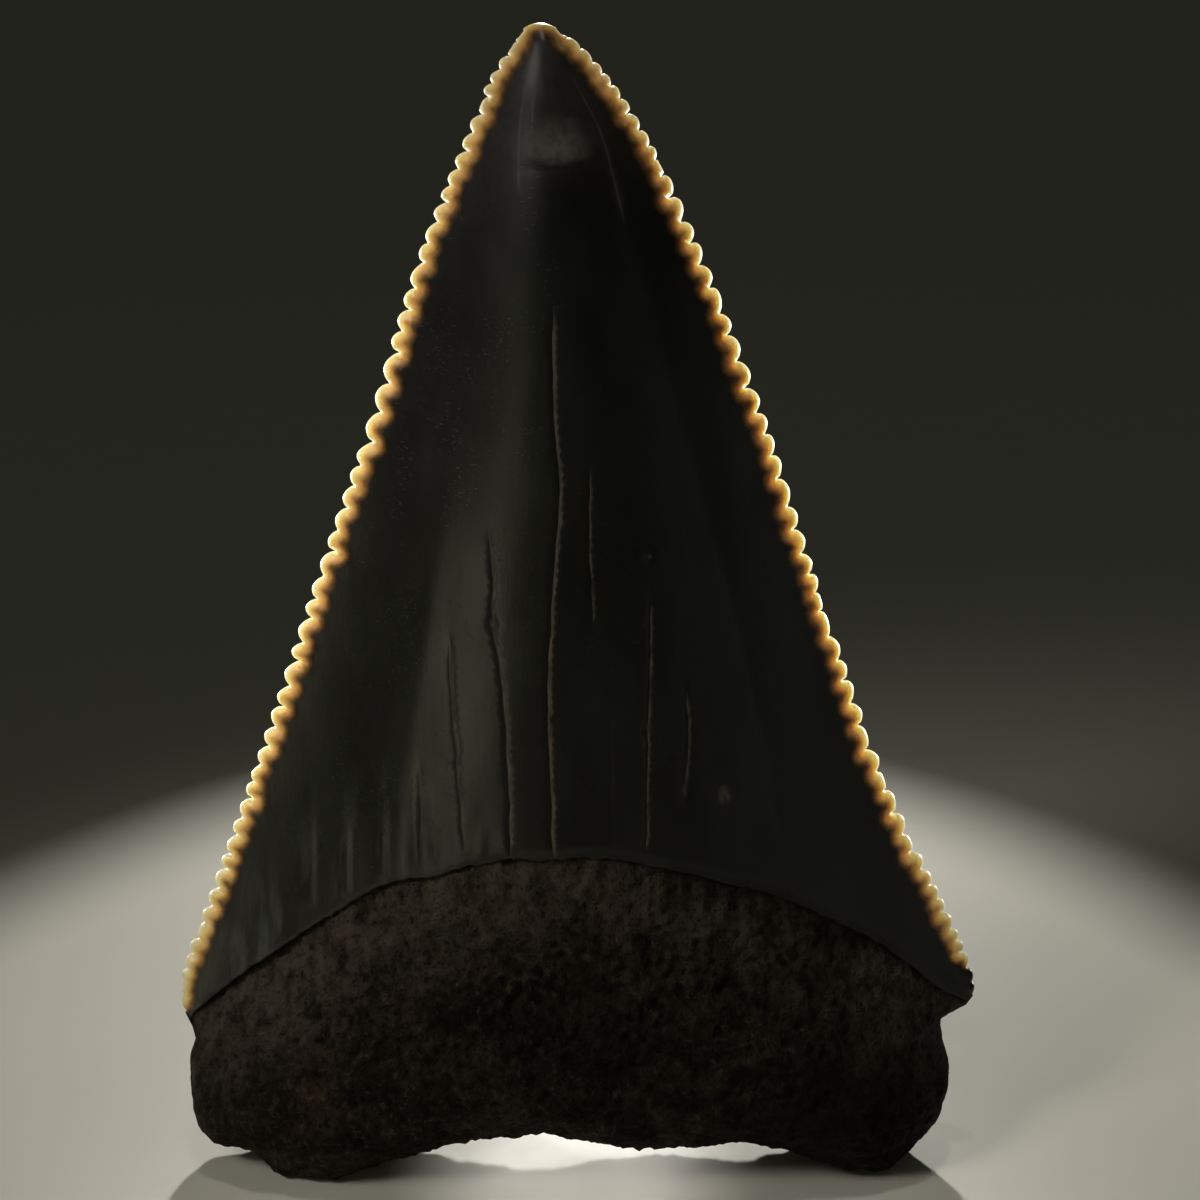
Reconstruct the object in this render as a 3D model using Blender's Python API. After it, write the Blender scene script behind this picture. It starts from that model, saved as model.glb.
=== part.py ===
"""A fossil great white shark tooth, one solid: crown and root grown together.

The tooth stands on its two root lobes, +Z up. Its inner (lingual) face looks along -Y, its outer
(labial) face along +Y. The two faces are sheets over one serrated outline in the XZ plane, each
lifted off the middle plane by the thickness of the tooth there, and they meet along the outline.
"""

import math
import random

import bmesh
import bpy
import numpy as np
from mathutils import Vector, geometry, noise

# Lengths below are in millimetres, and MM turns them into metres.
MM = 0.001

# The crown's outline through the tops of its serrations, as (x, z), from the left shoulder over
# the tip to the right shoulder.
CROWN_OUTLINE = [
    (-18.58, 7.05),
    (-18.84, 8.05),
    (-18.40, 9.90),
    (-17.62, 11.90),
    (-14.62, 19.90),
    (-11.94, 27.50),
    (-9.30, 34.80),
    (-6.75, 42.50),
    (-4.45, 47.90),
    (-3.75, 49.50),
    (-3.08, 50.60),
    (-2.45, 51.50),
    (-1.98, 51.88),
    (-1.45, 52.00),
    (-0.90, 51.86),
    (0.12, 51.20),
    (1.34, 49.92),
    (2.55, 48.25),
    (4.30, 45.10),
    (7.20, 38.30),
    (8.52, 34.80),
    (10.97, 27.50),
    (13.70, 19.90),
    (15.40, 15.95),
    (17.40, 11.90),
    (18.34, 9.80),
    (18.72, 8.45),
    (18.68, 7.85),
]
# The root's outline from under the right shoulder round the lobes to under the left shoulder. The
# lobes dip below z = 0, where they are pressed flat.
ROOT_OUTLINE = [
    (18.35, 7.38),
    (17.60, 7.05),
    (17.15, 6.80),
    (17.25, 5.90),
    (17.55, 4.40),
    (17.28, 2.55),
    (16.05, 0.80),
    (14.90, -0.30),
    (13.40, -0.45),
    (11.60, 0.00),
    (9.75, 0.70),
    (7.60, 1.30),
    (5.50, 1.00),
    (3.10, 1.05),
    (0.10, 1.50),
    (-2.20, 1.80),
    (-6.20, 1.05),
    (-9.00, 0.20),
    (-10.30, -0.45),
    (-11.50, -0.82),
    (-13.40, -0.72),
    (-14.70, -0.50),
    (-15.20, 0.20),
    (-15.90, 0.65),
    (-17.20, 0.80),
    (-18.05, 1.60),
    (-18.38, 3.20),
    (-18.35, 5.00),
    (-18.14, 5.85),
    (-18.34, 6.50),
]
LINE_STEP = 0.05

# Serrations: the pitch along the edge at some heights, how much it varies, and the depth of the
# notches as a share of the pitch. The tip itself is worn smooth.
PITCH_AT_HEIGHT = [
    (7.0, 0.60),
    (12.0, 0.80),
    (19.0, 1.02),
    (38.0, 1.20),
    (45.0, 0.95),
    (49.0, 0.70),
    (52.0, 0.60),
]
PITCH_VARIATION = 0.22
NOTCH_SHARE = 0.34
BEAD_PHASES = (0.0, 0.1, 0.3, 0.58, 0.85)
# Below 1 a serration is fuller on its tip side, above 1 on its root side, for the left edge (-1)
# and the right edge (1).
BEAD_LEAN = {-1: 1.15, 1: 0.85}
BEAD_ROUNDNESS = 0.65
WORN_TIP = 0.8
SEED = 21

# The crown's thickness on each side of the cutting edge. It grows with the half width of the crown
# at each height, and a core fills out the narrow part near the tip.
EDGE_HALF_THICKNESS = 0.30
EDGE_ROUND = 0.75
NARROWEST_HALF_WIDTH = 0.7
INNER_DEPTH_PER_WIDTH = 0.30
OUTER_DEPTH_PER_WIDTH = 0.105
CORE_DEPTH = 0.90
CORE_WIDTH = 3.0
OUTER_CORE_SHARE = 0.55
# Above 1, the inner face turns hollow towards its cutting edges.
INNER_CURVE = 1.72
OUTER_CURVE_POWER = 2.4

# The root: where the crown's foot crosses it on each face, as (x, z), and its thickness.
INNER_JUNCTION = [
    (-18.9, 6.5),
    (-17.6, 7.6),
    (-16.1, 8.9),
    (-13.7, 10.8),
    (-11.3, 12.8),
    (-8.9, 14.6),
    (-6.5, 15.6),
    (-4.1, 16.5),
    (-1.7, 16.9),
    (0.7, 16.9),
    (3.1, 16.5),
    (5.5, 15.6),
    (10.3, 13.4),
    (12.7, 11.8),
    (15.1, 10.1),
    (17.0, 8.4),
    (18.9, 7.3),
]
OUTER_JUNCTION = [(-18.9, 6.6), (-14.0, 9.2), (-7.0, 11.2), (0.0, 11.8), (7.0, 11.2), (14.0, 9.3), (18.9, 7.3)]
ENAMEL_LIP = 0.28
LIP_WIDTH = 0.30
# The root's middle plane steps back from the cutting edges over a stretch below this height.
ROOT_MIDDLE = -1.25
MIDDLE_STEP_TOP = 12.0
MIDDLE_STEP_LENGTH = 8.0
ROOT_DEPTH = {"inner": 5.2, "outer": 4.1}
LOBE_LOSS = {"inner": 1.7, "outer": 1.2}
LOBE_REACH = 17.0
# The root is at its thickest at this share of the way from the crown's foot to the sole.
THICKEST_SHARE = 0.62
# The rim is rounded over by EDGE_ROUND on the crown and by ROOT_ROUND on the root, and turns from
# one to the other below a height.
ROOT_ROUND = 4.4
ROUND_CHANGE_TOP = 8.4
ROUND_CHANGE_LENGTH = 3.2
ROOT_RELIEF = 0.30
RELIEF_SIZE = 3.2
OUTER_RELIEF_SHIFT = 40.0

# Nutrient holes on the inner face of the root, as (x, z, radius, depth).
NUTRIENT_HOLES = [(0.6, 4.2, 0.75, 0.55), (1.7, 4.5, 0.6, 0.45), (-1.8, 3.0, 0.5, 0.4), (4.9, 3.5, 1.0, 0.4)]

# Spacing of the mesh. A crown ring is (how far inside the notches, step along it), and a root ring
# is where the rim's rounding has turned by an angle in degrees.
CROWN_RINGS = [(0.35, 0.65), (1.05, 0.95)]
ROOT_RING_ANGLES = (14, 28, 43, 58, 74)
ROOT_RIM_SPACING = 0.8
SOLE_SPACING = 0.75
ROOT_RING_SPACING = 0.95
FILL_SPACING = 1.12
FILL_ROOM = 0.9
FILL_CORNER = (-19.5, -1.0)
FILL_SIZE = (39.0, 54.0)
JUNCTION_SPACING = 0.9
JUNCTION_ROOM = 0.45
HOLE_POINTS = 6
HOLE_SHARE = 0.8
HOLE_GAP = 0.3
MEAN_NOTCH = 0.34
# Points keep this share of their spacing from each other, and of their inset from the outline.
GAP_SHARE = 0.62
ROOM_SHARE = 0.75
BRIDGE_ROUNDS = 6

ENAMEL_COLOUR = (0.020, 0.020, 0.016, 1.0)
ENAMEL_ROUGHNESS = 0.34
ROOT_COLOUR = (0.050, 0.040, 0.030, 1.0)
ROOT_ROUGHNESS = 0.85


def clear_scene():
    for thing in list(bpy.data.objects):
        bpy.data.objects.remove(thing, do_unlink=True)


def smooth_line(points, step):
    """Points about step apart along a smooth curve through the given ones."""
    points = np.array(points, float)
    chords = np.linalg.norm(np.diff(points, axis=0), axis=1)
    at = np.concatenate([[0.0], np.cumsum(np.sqrt(chords))])
    slopes = np.gradient(points, at, axis=0)
    fine = []
    for i in range(len(points) - 1):
        span = at[i + 1] - at[i]
        t = np.linspace(0.0, 1.0, 80, endpoint=False)[:, None]
        fine.append(
            (1 + 2 * t) * (1 - t) ** 2 * points[i]
            + t * (1 - t) ** 2 * span * slopes[i]
            + t * t * (3 - 2 * t) * points[i + 1]
            + t * t * (t - 1) * span * slopes[i + 1]
        )
    return even_line(np.concatenate(fine + [points[-1:]]), step)


def even_line(line, step):
    along = lengths_along(line)
    at = np.linspace(0.0, along[-1], max(2, round(along[-1] / step) + 1))
    return np.stack([np.interp(at, along, line[:, k]) for k in (0, 1)], axis=1)


def lengths_along(line):
    return np.concatenate([[0.0], np.cumsum(np.linalg.norm(np.diff(line, axis=0), axis=1))])


def outward(line):
    """Unit normals of a line that runs clockwise round the tooth."""
    tangent = np.gradient(line, axis=0)
    tangent /= np.linalg.norm(tangent, axis=1, keepdims=True)
    return np.stack([-tangent[:, 1], tangent[:, 0]], axis=1)


def serration_stops(top, along, heights, direction, rng):
    """Where the serrations of one edge begin and end, measured along the crown's outline."""
    end = along[-1] if direction > 0 else 0.0
    stops = [top + direction * WORN_TIP]
    pitch_heights, pitches = zip(*PITCH_AT_HEIGHT)
    while direction * (end - stops[-1]) > 0.5 * pitches[0]:
        height = np.interp(stops[-1], along, heights)
        pitch = np.interp(height, pitch_heights, pitches)
        stops.append(stops[-1] + direction * pitch * (1 + PITCH_VARIATION * rng.uniform(-1, 1)))
    stops[-1] = end
    return stops


def bead(phase, lean):
    """The height of one serration, from 0 in a notch to 1 at its top."""
    return math.sin(math.pi * phase**lean) ** BEAD_ROUNDNESS


def crown_edge(line):
    """The serrated outline of the crown."""
    rng = random.Random(SEED)
    along = lengths_along(line)
    top = along[int(np.argmax(line[:, 1]))]
    normals = outward(line)
    found = [(top, 0.0), (top - 0.5 * WORN_TIP, 0.0), (top + 0.5 * WORN_TIP, 0.0)]
    for direction in (-1, 1):
        stops = serration_stops(top, along, line[:, 1], direction, rng)
        for start, stop in zip(stops, stops[1:]):
            notch = NOTCH_SHARE * abs(stop - start)
            for phase in BEAD_PHASES:
                inset = notch * (1 - bead(phase, BEAD_LEAN[direction]))
                found.append((start + phase * (stop - start), inset))
        found.append((stops[-1], 0.0))
    at, inset = np.array(sorted(found)).T
    place = np.stack([np.interp(at, along, line[:, k]) for k in (0, 1)], axis=1)
    normal = np.stack([np.interp(at, along, normals[:, k]) for k in (0, 1)], axis=1)
    return place - normal * inset[:, None]


def distance_to(loop, points):
    """How far each point is from the closed outline."""
    start, end = loop, np.roll(loop, -1, axis=0)
    run = end - start
    length2 = (run**2).sum(axis=1)
    away = points[:, None, :] - start[None]
    share = np.clip((away * run[None]).sum(axis=2) / length2, 0.0, 1.0)
    return np.linalg.norm(away - share[..., None] * run[None], axis=2).min(axis=1)


def inside(loop, points):
    """Whether each point is inside the closed outline, by crossing count."""
    start, end = loop, np.roll(loop, -1, axis=0)
    x, z = points[:, :1], points[:, 1:]
    spans = (start[None, :, 1] > z) != (end[None, :, 1] > z)
    rise = np.where(start[:, 1] == end[:, 1], 1.0, end[:, 1] - start[:, 1])
    crossing = start[None, :, 0] + (z - start[None, :, 1]) * (end[:, 0] - start[:, 0])[None] / rise[None]
    return (spans & (x < crossing)).sum(axis=1) % 2 == 1


def smoothstep(t):
    t = np.clip(t, 0.0, 1.0)
    return t * t * (3 - 2 * t)


class Tooth:
    """The outline and the thickness of the tooth, in millimetres."""

    def __init__(self):
        self.crown_line = smooth_line(CROWN_OUTLINE, LINE_STEP)
        self.root_line = smooth_line(ROOT_OUTLINE, LINE_STEP)
        top = int(np.argmax(self.crown_line[:, 1]))
        self.left_edge = self.crown_line[: top + 1]
        self.right_edge = self.crown_line[top:][::-1]
        self.junction = {
            "inner": smooth_line(INNER_JUNCTION, LINE_STEP),
            "outer": smooth_line(OUTER_JUNCTION, LINE_STEP),
        }
        root_rim = even_line(self.root_line, ROOT_RIM_SPACING)
        self.outline = np.concatenate([crown_edge(self.crown_line), root_rim])

    def crown_span(self, z):
        """The middle and half width of the crown at a height."""
        left = np.interp(z, self.left_edge[:, 1], self.left_edge[:, 0])
        right = np.interp(z, self.right_edge[:, 1], self.right_edge[:, 0])
        return (left + right) / 2, np.maximum((right - left) / 2, NARROWEST_HALF_WIDTH)

    def junction_height(self, x, face):
        line = self.junction[face]
        return np.interp(x, line[:, 0], line[:, 1])

    def crown_depth(self, x, z, face):
        middle, half = self.crown_span(z)
        u = np.clip(np.abs(x - middle) / half, 0.0, 1.0)
        core = CORE_DEPTH * (1 - np.exp(-half / CORE_WIDTH))
        if face == "inner":
            body = 1 - INNER_CURVE * u**2 + (INNER_CURVE - 1) * u**4
            return EDGE_HALF_THICKNESS + (INNER_DEPTH_PER_WIDTH * half + core) * body
        body = 1 - u**OUTER_CURVE_POWER
        return EDGE_HALF_THICKNESS + (OUTER_DEPTH_PER_WIDTH * half + OUTER_CORE_SHARE * core) * body

    def root_depth(self, x, z, face):
        reach = np.clip(np.abs(x) / LOBE_REACH, 0.0, 1.1)
        full = ROOT_DEPTH[face] - LOBE_LOSS[face] * reach**2
        top = self.junction_height(x, face)
        under = np.clip((top - z) / top, 0.0, 1.0)
        crown = self.crown_depth(x, top, face) - ENAMEL_LIP
        return crown + (full - crown) * smoothstep(under / THICKEST_SHARE)

    def middle(self, z):
        """How far the root's middle plane stands from the crown's cutting edges."""
        return ROOT_MIDDLE * smoothstep((MIDDLE_STEP_TOP - z) / MIDDLE_STEP_LENGTH)

    def depth(self, x, z, face):
        """The thickness from the middle plane to one face, with the rim rounded over."""
        below = smoothstep((self.junction_height(x, face) - z) / LIP_WIDTH + 0.5)
        whole = self.crown_depth(x, z, face) * (1 - below) + self.root_depth(x, z, face) * below
        whole += below * self.relief(x, z, face)
        if face == "inner":
            for hole_x, hole_z, radius, deep in NUTRIENT_HOLES:
                whole -= deep * np.exp(-(((x - hole_x) ** 2 + (z - hole_z) ** 2) / radius**2))
        rooted = smoothstep((ROUND_CHANGE_TOP - z) / ROUND_CHANGE_LENGTH)
        rim = EDGE_ROUND + (ROOT_ROUND - EDGE_ROUND) * rooted
        near = np.clip(distance_to(self.outline, np.stack([x, z], axis=1)) / rim, 0.0, 1.0)
        return whole * np.sqrt(1 - (1 - near) ** 2)

    def relief(self, x, z, face):
        """The root's soft lumps."""
        side = 0.0 if face == "inner" else OUTER_RELIEF_SHIFT
        places = [Vector((a / RELIEF_SIZE, b / RELIEF_SIZE, side)) for a, b in zip(x, z)]
        return ROOT_RELIEF * np.array([noise.noise(place) for place in places])


def inset_ring(line, inset, spacing):
    """Points along a line, moved inwards."""
    moved = line - outward(line) * inset
    return even_line(moved, spacing)


def hole_rings():
    """Points round and in each nutrient hole."""
    found = []
    for x, z, radius, _ in NUTRIENT_HOLES:
        found.append((x, z))
        for i in range(HOLE_POINTS):
            turn = 2 * math.pi * i / HOLE_POINTS
            out = HOLE_SHARE * radius
            found.append((x + out * math.cos(turn), z + out * math.sin(turn)))
    return np.array(found)


def sole_points(tooth):
    """Points on the edge of the flat spot under each lobe, where the outline dips below z = 0."""
    x = np.arange(-LOBE_REACH, LOBE_REACH, SOLE_SPACING)
    row = np.stack([x, np.zeros_like(x)], axis=1)
    return row[inside(tooth.outline, row)]


def fill_grid():
    """A grid of equilateral triangles over the whole tooth."""
    rise = FILL_SPACING * math.sqrt(0.75)
    row, column = np.mgrid[0 : int(FILL_SIZE[1] / rise), 0 : int(FILL_SIZE[0] / FILL_SPACING)]
    x = FILL_CORNER[0] + (column + 0.5 * (row % 2)) * FILL_SPACING
    z = FILL_CORNER[1] + row * rise
    return np.stack([x.ravel(), z.ravel()], axis=1)


def keep_clear(kept, points, spacing):
    """Those of the points that stand at least spacing from each other and from the kept ones."""
    for point in points:
        if len(kept) == 0 or np.min(np.linalg.norm(np.array(kept) - point, axis=1)) > spacing:
            kept.append(tuple(point))


def inner_points(tooth, face):
    """The points of one face inside the outline, rings first and the even grid in what is left."""
    kept = []
    keep_clear(kept, sole_points(tooth), 0.5 * SOLE_SPACING)
    if face == "inner":
        keep_clear(kept, hole_rings(), HOLE_GAP)
    junction = even_line(tooth.junction[face], JUNCTION_SPACING)
    for shift in (-0.5 * LIP_WIDTH, 0.5 * LIP_WIDTH):
        row = junction + (0.0, shift)
        room = distance_to(tooth.outline, row)
        keep_clear(kept, row[inside(tooth.outline, row) & (room > JUNCTION_ROOM)], 0.8 * LIP_WIDTH)
    layers = []
    for inset, step in CROWN_RINGS:
        layers.append((inset_ring(tooth.crown_line, MEAN_NOTCH + inset, step), inset, step))
    for angle in ROOT_RING_ANGLES:
        inset = ROOT_ROUND * (1 - math.cos(math.radians(angle)))
        layers.append((inset_ring(tooth.root_line, inset, ROOT_RING_SPACING), inset, ROOT_RING_SPACING))
    layers.append((fill_grid(), FILL_ROOM, FILL_SPACING))
    for points, room, step in layers:
        points = points[inside(tooth.outline, points)]
        points = points[distance_to(tooth.outline, points) > ROOM_SHARE * room]
        keep_clear(kept, points, GAP_SHARE * step)
    return np.array(kept)


def rim_bridges(triangles, count):
    """The edges of a triangulation that join two rim points across the tooth."""
    found = set()
    for triangle in triangles:
        for a, b in zip(triangle, triangle[1:] + triangle[:1]):
            if max(a, b) < count and abs(a - b) not in (1, count - 1):
                found.add((min(a, b), max(a, b)))
    return sorted(found)


def triangulate(outline, inner):
    """Triangles over the outline and the inner points, with a point added on each bridge."""
    count = len(outline)
    edges = [(i, (i + 1) % count) for i in range(count)]
    for _ in range(BRIDGE_ROUNDS):
        flat = np.concatenate([outline, inner])
        made, _, triangles, _, _, _ = geometry.delaunay_2d_cdt([Vector(p) for p in flat], edges, [], 1, 1e-6)
        if len(made) != len(flat):
            raise RuntimeError("the outline crosses itself")
        triangles = [tuple(t) for t in triangles]
        bridges = rim_bridges(triangles, count)
        if not bridges:
            return flat, triangles
        middles = [(outline[a] + outline[b]) / 2 for a, b in bridges]
        inner = np.concatenate([inner, middles])
    raise RuntimeError("two stretches of the outline stay joined across the tooth")


def add_face_sheet(mesh, tooth, rim, face):
    """One face of the tooth, as triangles between the shared rim and the face's own points."""
    flat, triangles = triangulate(tooth.outline, inner_points(tooth, face))
    sign = -1.0 if face == "inner" else 1.0
    x, z = flat[len(rim) :].T
    y = tooth.middle(z) + sign * tooth.depth(x, z, face)
    corners = list(rim)
    corners += [mesh.verts.new((px * MM, py * MM, max(pz, 0.0) * MM)) for px, py, pz in zip(x, y, z)]
    for triangle in triangles:
        order = triangle if face == "inner" else triangle[::-1]
        made = mesh.faces.new([corners[i] for i in order])
        made.smooth = True
        centre = flat[list(triangle)].mean(axis=0)
        made.material_index = int(centre[1] < tooth.junction_height(centre[0], face))


def tooth_mesh(tooth):
    mesh = bmesh.new()
    rim = [
        mesh.verts.new((x * MM, float(tooth.middle(z)) * MM, max(z, 0.0) * MM)) for x, z in tooth.outline
    ]
    for face in ("inner", "outer"):
        add_face_sheet(mesh, tooth, rim, face)
    mesh.normal_update()
    data = bpy.data.meshes.new("tooth")
    mesh.to_mesh(data)
    mesh.free()
    return data


def surface_material(name, colour, roughness):
    material = bpy.data.materials.new(name)
    material.use_nodes = True
    shader = material.node_tree.nodes["Principled BSDF"]
    shader.inputs["Base Color"].default_value = colour
    shader.inputs["Roughness"].default_value = roughness
    shader.inputs["Metallic"].default_value = 0.0
    material.diffuse_color = colour
    return material


def build():
    clear_scene()
    home = bpy.data.collections.new("fossil_great_white_tooth")
    bpy.context.scene.collection.children.link(home)
    data = tooth_mesh(Tooth())
    data.materials.append(surface_material("fossil_enamel", ENAMEL_COLOUR, ENAMEL_ROUGHNESS))
    data.materials.append(surface_material("fossil_root", ROOT_COLOUR, ROOT_ROUGHNESS))
    tooth = bpy.data.objects.new("tooth", data)
    low, high = np.min(tooth.bound_box, axis=0), np.max(tooth.bound_box, axis=0)
    tooth.location = (-(low[0] + high[0]) / 2, -(low[1] + high[1]) / 2, 0.0)
    home.objects.link(tooth)


build()
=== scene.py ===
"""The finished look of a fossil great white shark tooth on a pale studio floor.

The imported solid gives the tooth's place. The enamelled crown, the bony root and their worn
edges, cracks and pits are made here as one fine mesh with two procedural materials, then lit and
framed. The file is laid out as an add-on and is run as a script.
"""

import math
import random

import bpy
import numpy as np
from bpy.props import FloatProperty, FloatVectorProperty, PointerProperty
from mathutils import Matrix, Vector, geometry, kdtree, noise


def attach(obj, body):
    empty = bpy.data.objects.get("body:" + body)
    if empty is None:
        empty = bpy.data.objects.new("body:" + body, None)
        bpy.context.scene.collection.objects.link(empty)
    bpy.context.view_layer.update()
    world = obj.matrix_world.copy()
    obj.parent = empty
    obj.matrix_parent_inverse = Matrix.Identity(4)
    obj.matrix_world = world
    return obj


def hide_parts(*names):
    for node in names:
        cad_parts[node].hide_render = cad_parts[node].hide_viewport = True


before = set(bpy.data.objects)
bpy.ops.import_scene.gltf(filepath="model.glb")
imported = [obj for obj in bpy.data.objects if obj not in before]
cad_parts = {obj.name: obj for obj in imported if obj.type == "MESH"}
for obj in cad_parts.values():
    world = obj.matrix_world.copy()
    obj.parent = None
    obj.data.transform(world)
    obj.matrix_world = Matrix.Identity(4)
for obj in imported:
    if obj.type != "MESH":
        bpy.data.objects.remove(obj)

bl_info = {
    "name": "Fossil Shark Tooth",
    "version": (1, 0, 0),
    "blender": (4, 5, 0),
    "location": "View3D > Sidebar > Fossil Tooth",
    "description": "Builds a fossil great white shark tooth and a small studio to show it in",
    "category": "Add Mesh",
}

# Lengths below are in millimetres unless a comment says metres, and MM turns them into metres.
MM = 0.001

# The crown's outline through the tops of its serrations, as (x, z), from the left shoulder over
# the tip to the right shoulder.
CROWN_OUTLINE = [
    (-18.58, 7.05), (-18.84, 8.05), (-18.40, 9.90), (-17.62, 11.90), (-14.62, 19.90),
    (-11.94, 27.50), (-9.30, 34.80), (-6.75, 42.50), (-4.45, 47.90), (-3.75, 49.50),
    (-3.08, 50.60), (-2.45, 51.50), (-1.98, 51.88), (-1.45, 52.00), (-0.90, 51.86),
    (0.12, 51.20), (1.34, 49.92), (2.55, 48.25), (4.30, 45.10), (7.20, 38.30),
    (8.52, 34.80), (10.97, 27.50), (13.70, 19.90), (15.40, 15.95), (17.40, 11.90),
    (18.34, 9.80), (18.72, 8.45), (18.68, 7.85),
]
# The root's outline from under the right shoulder round the lobes to under the left shoulder.
ROOT_OUTLINE = [
    (18.35, 7.38), (17.60, 7.05), (17.15, 6.80), (17.25, 5.90), (17.55, 4.40),
    (17.28, 2.55), (16.05, 0.80), (14.90, -0.30), (13.40, -0.45), (11.60, 0.00),
    (9.75, 0.70), (7.60, 1.30), (5.50, 1.00), (3.10, 1.05), (0.10, 1.50),
    (-2.20, 1.80), (-6.20, 1.05), (-9.00, 0.20), (-10.30, -0.45), (-11.50, -0.82),
    (-13.40, -0.72), (-14.70, -0.50), (-15.20, 0.20), (-15.90, 0.65), (-17.20, 0.80),
    (-18.05, 1.60), (-18.38, 3.20), (-18.35, 5.00), (-18.14, 5.85), (-18.34, 6.50),
]
LINE_STEP = 0.05
SPAN_POINTS = 80

# Serrations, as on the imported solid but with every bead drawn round.
# Their pitch is given as (height, pitch), and -1 is the left edge and 1 the right one.
PITCH_AT_HEIGHT = [
    (7.0, 0.60), (12.0, 0.80), (19.0, 1.02), (38.0, 1.20), (45.0, 0.95), (49.0, 0.70), (52.0, 0.60),
]
PITCH_VARIATION = 0.22
SHORTEST_LAST = 0.5
NOTCH_SHARE = 0.34
BEAD_POINTS = 14
BEAD_LEAN = {-1: 1.15, 1: 0.85}
BEAD_ROUNDNESS = 0.62
# Each serration is a little deeper or shallower than its neighbours, and a few are worn blunt.
BEAD_VARIATION = 0.22
BLUNT_SHARE = 0.15
BLUNT_DEPTH = 0.13
# Towards each shoulder, over this length, the serrations lose up to this share of their depth.
SHOULDER_WEAR = 0.8
SHOULDER_REACH = 2.0
# The tip has no serrations this far to each side. From there, over WORN_REACH, they gain the share
# of their depth that the tip's wear takes.
WORN_TIP = 0.8
TIP_WEAR = 0.45
WORN_REACH = {-1: 1.2, 1: 2.4}
TIP_POINTS = 13
SEED = 21

# The crown's thickness on each side of its middle plane, which follows the cutting edges.
EDGE_HALF_THICKNESS = 0.30
EDGE_ROUND = 0.75
INNER_DEPTH_PER_WIDTH = 0.30
OUTER_DEPTH_PER_WIDTH = 0.105
CORE_DEPTH = 0.90
CORE_WIDTH = 3.0
OUTER_CORE_SHARE = 0.55
INNER_CURVE = 1.72
OUTER_CURVE_POWER = 2.4
NARROWEST_HALF_WIDTH = 0.7

# Where the crown's foot crosses the root on each face, as (x, z).
INNER_JUNCTION = [
    (-18.9, 6.5), (-17.6, 7.6), (-16.1, 8.9), (-13.7, 10.8), (-11.3, 12.8),
    (-8.9, 14.6), (-6.5, 15.6), (-4.1, 16.5), (-1.7, 16.9), (0.7, 16.9),
    (3.1, 16.5), (5.5, 15.6), (10.3, 13.4), (12.7, 11.8), (15.1, 10.1),
    (17.0, 8.4), (18.9, 7.3),
]
OUTER_JUNCTION = [
    (-18.9, 6.6), (-14.0, 9.2), (-7.0, 11.2), (0.0, 11.8), (7.0, 11.2), (14.0, 9.3), (18.9, 7.3),
]
# The junction wanders in waves this long, and less in short ones.
JUNCTION_WANDER = 0.16
LONG_WAVE = 2.4
SHORT_WAVE = 0.45
SHORT_WAVE_SHARE = 0.35
# Shifts into the noise, so that the two faces differ.
JUNCTION_NOISE = {"inner": 0.0, "outer": 9.0}
LUMP_NOISE = {"inner": 0.0, "outer": 40.0}
# The step down from the enamel to the root, and the root's thickness.
ENAMEL_LIP = 0.28
LIP_WIDTH = 0.30
ROOT_MIDDLE = -1.25
ROOT_FULL = {"inner": 5.2, "outer": 4.1}
LOBE_LOSS = {"inner": 1.7, "outer": 1.2}
LOBE_REACH = 17.0
ROOT_ROUND = 4.4
ROOT_LUMPS = 0.30
LUMP_SIZE = 3.2
# The share of its height over which the root grows to its full thickness.
THICKEST_SHARE = 0.62
# Downward from these heights the middle plane steps to the root's, and the rim grows round.
MIDDLE_STEP_TOP = 12.0
MIDDLE_STEP_LENGTH = 8.0
ROUND_CHANGE_TOP = 8.4
ROUND_CHANGE_LENGTH = 3.2

# Nutrient holes on the inner face of the root, as (x, z, radius, depth).
NUTRIENT_HOLES = [
    (0.6, 4.2, 0.75, 0.55),
    (1.7, 4.5, 0.6, 0.45),
    (-1.8, 3.0, 0.5, 0.4),
    (4.9, 3.5, 1.0, 0.4),
]

# Cracks down the inner face of the crown, as a strength and points (x, z) from the top down.
CRACKS = [
    (
        1.0,
        [
            (-1.0, 41.3), (-0.93, 36.2), (-0.7, 32.9), (-0.9, 30.3),
            (-1.25, 24.0), (-1.15, 20.5), (-1.05, 16.9),
        ],
    ),
    (0.7, [(0.66, 35.0), (0.53, 31.6), (0.7, 27.2)]),
    (0.9, [(-3.74, 31.8), (-3.54, 28.6), (-3.6, 27.2), (-3.22, 24.7), (-3.0, 21.0), (-2.89, 16.9)]),
    (0.75, [(-5.5, 27.1), (-5.36, 23.4), (-5.09, 19.3), (-4.93, 17.2)]),
    (0.8, [(3.1, 29.1), (3.16, 26.5), (3.12, 24.0), (3.05, 20.0), (3.01, 17.1)]),
    (0.8, [(4.66, 24.9), (4.85, 22.2), (4.77, 19.8)]),
    (0.4, [(1.56, 24.4), (1.5, 21.0), (1.57, 17.3)]),
    (0.4, [(-6.93, 21.6), (-6.85, 19.0), (-6.99, 16.3)]),
    (0.4, [(-6.17, 20.0), (-6.2, 16.9)]),
]
# The turns of a crack's line, as (shift into the noise, length, share of CRACK_WANDER).
CRACK_TURNS = [(0.0, 1.1, 1.0), (5.0, 0.3, 0.3)]
CRACK_WANDER = 0.07
CRACK_STEP = 0.16
CRACK_HALF_WIDTH = 0.040
CRACK_FADE_TOP = 2.0
CRACK_FADE_FOOT = 1.0
# A painted highlight lies on the right side of each crack, where its lip catches the light.
CRACK_SHEEN_SHIFT = 0.06
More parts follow.
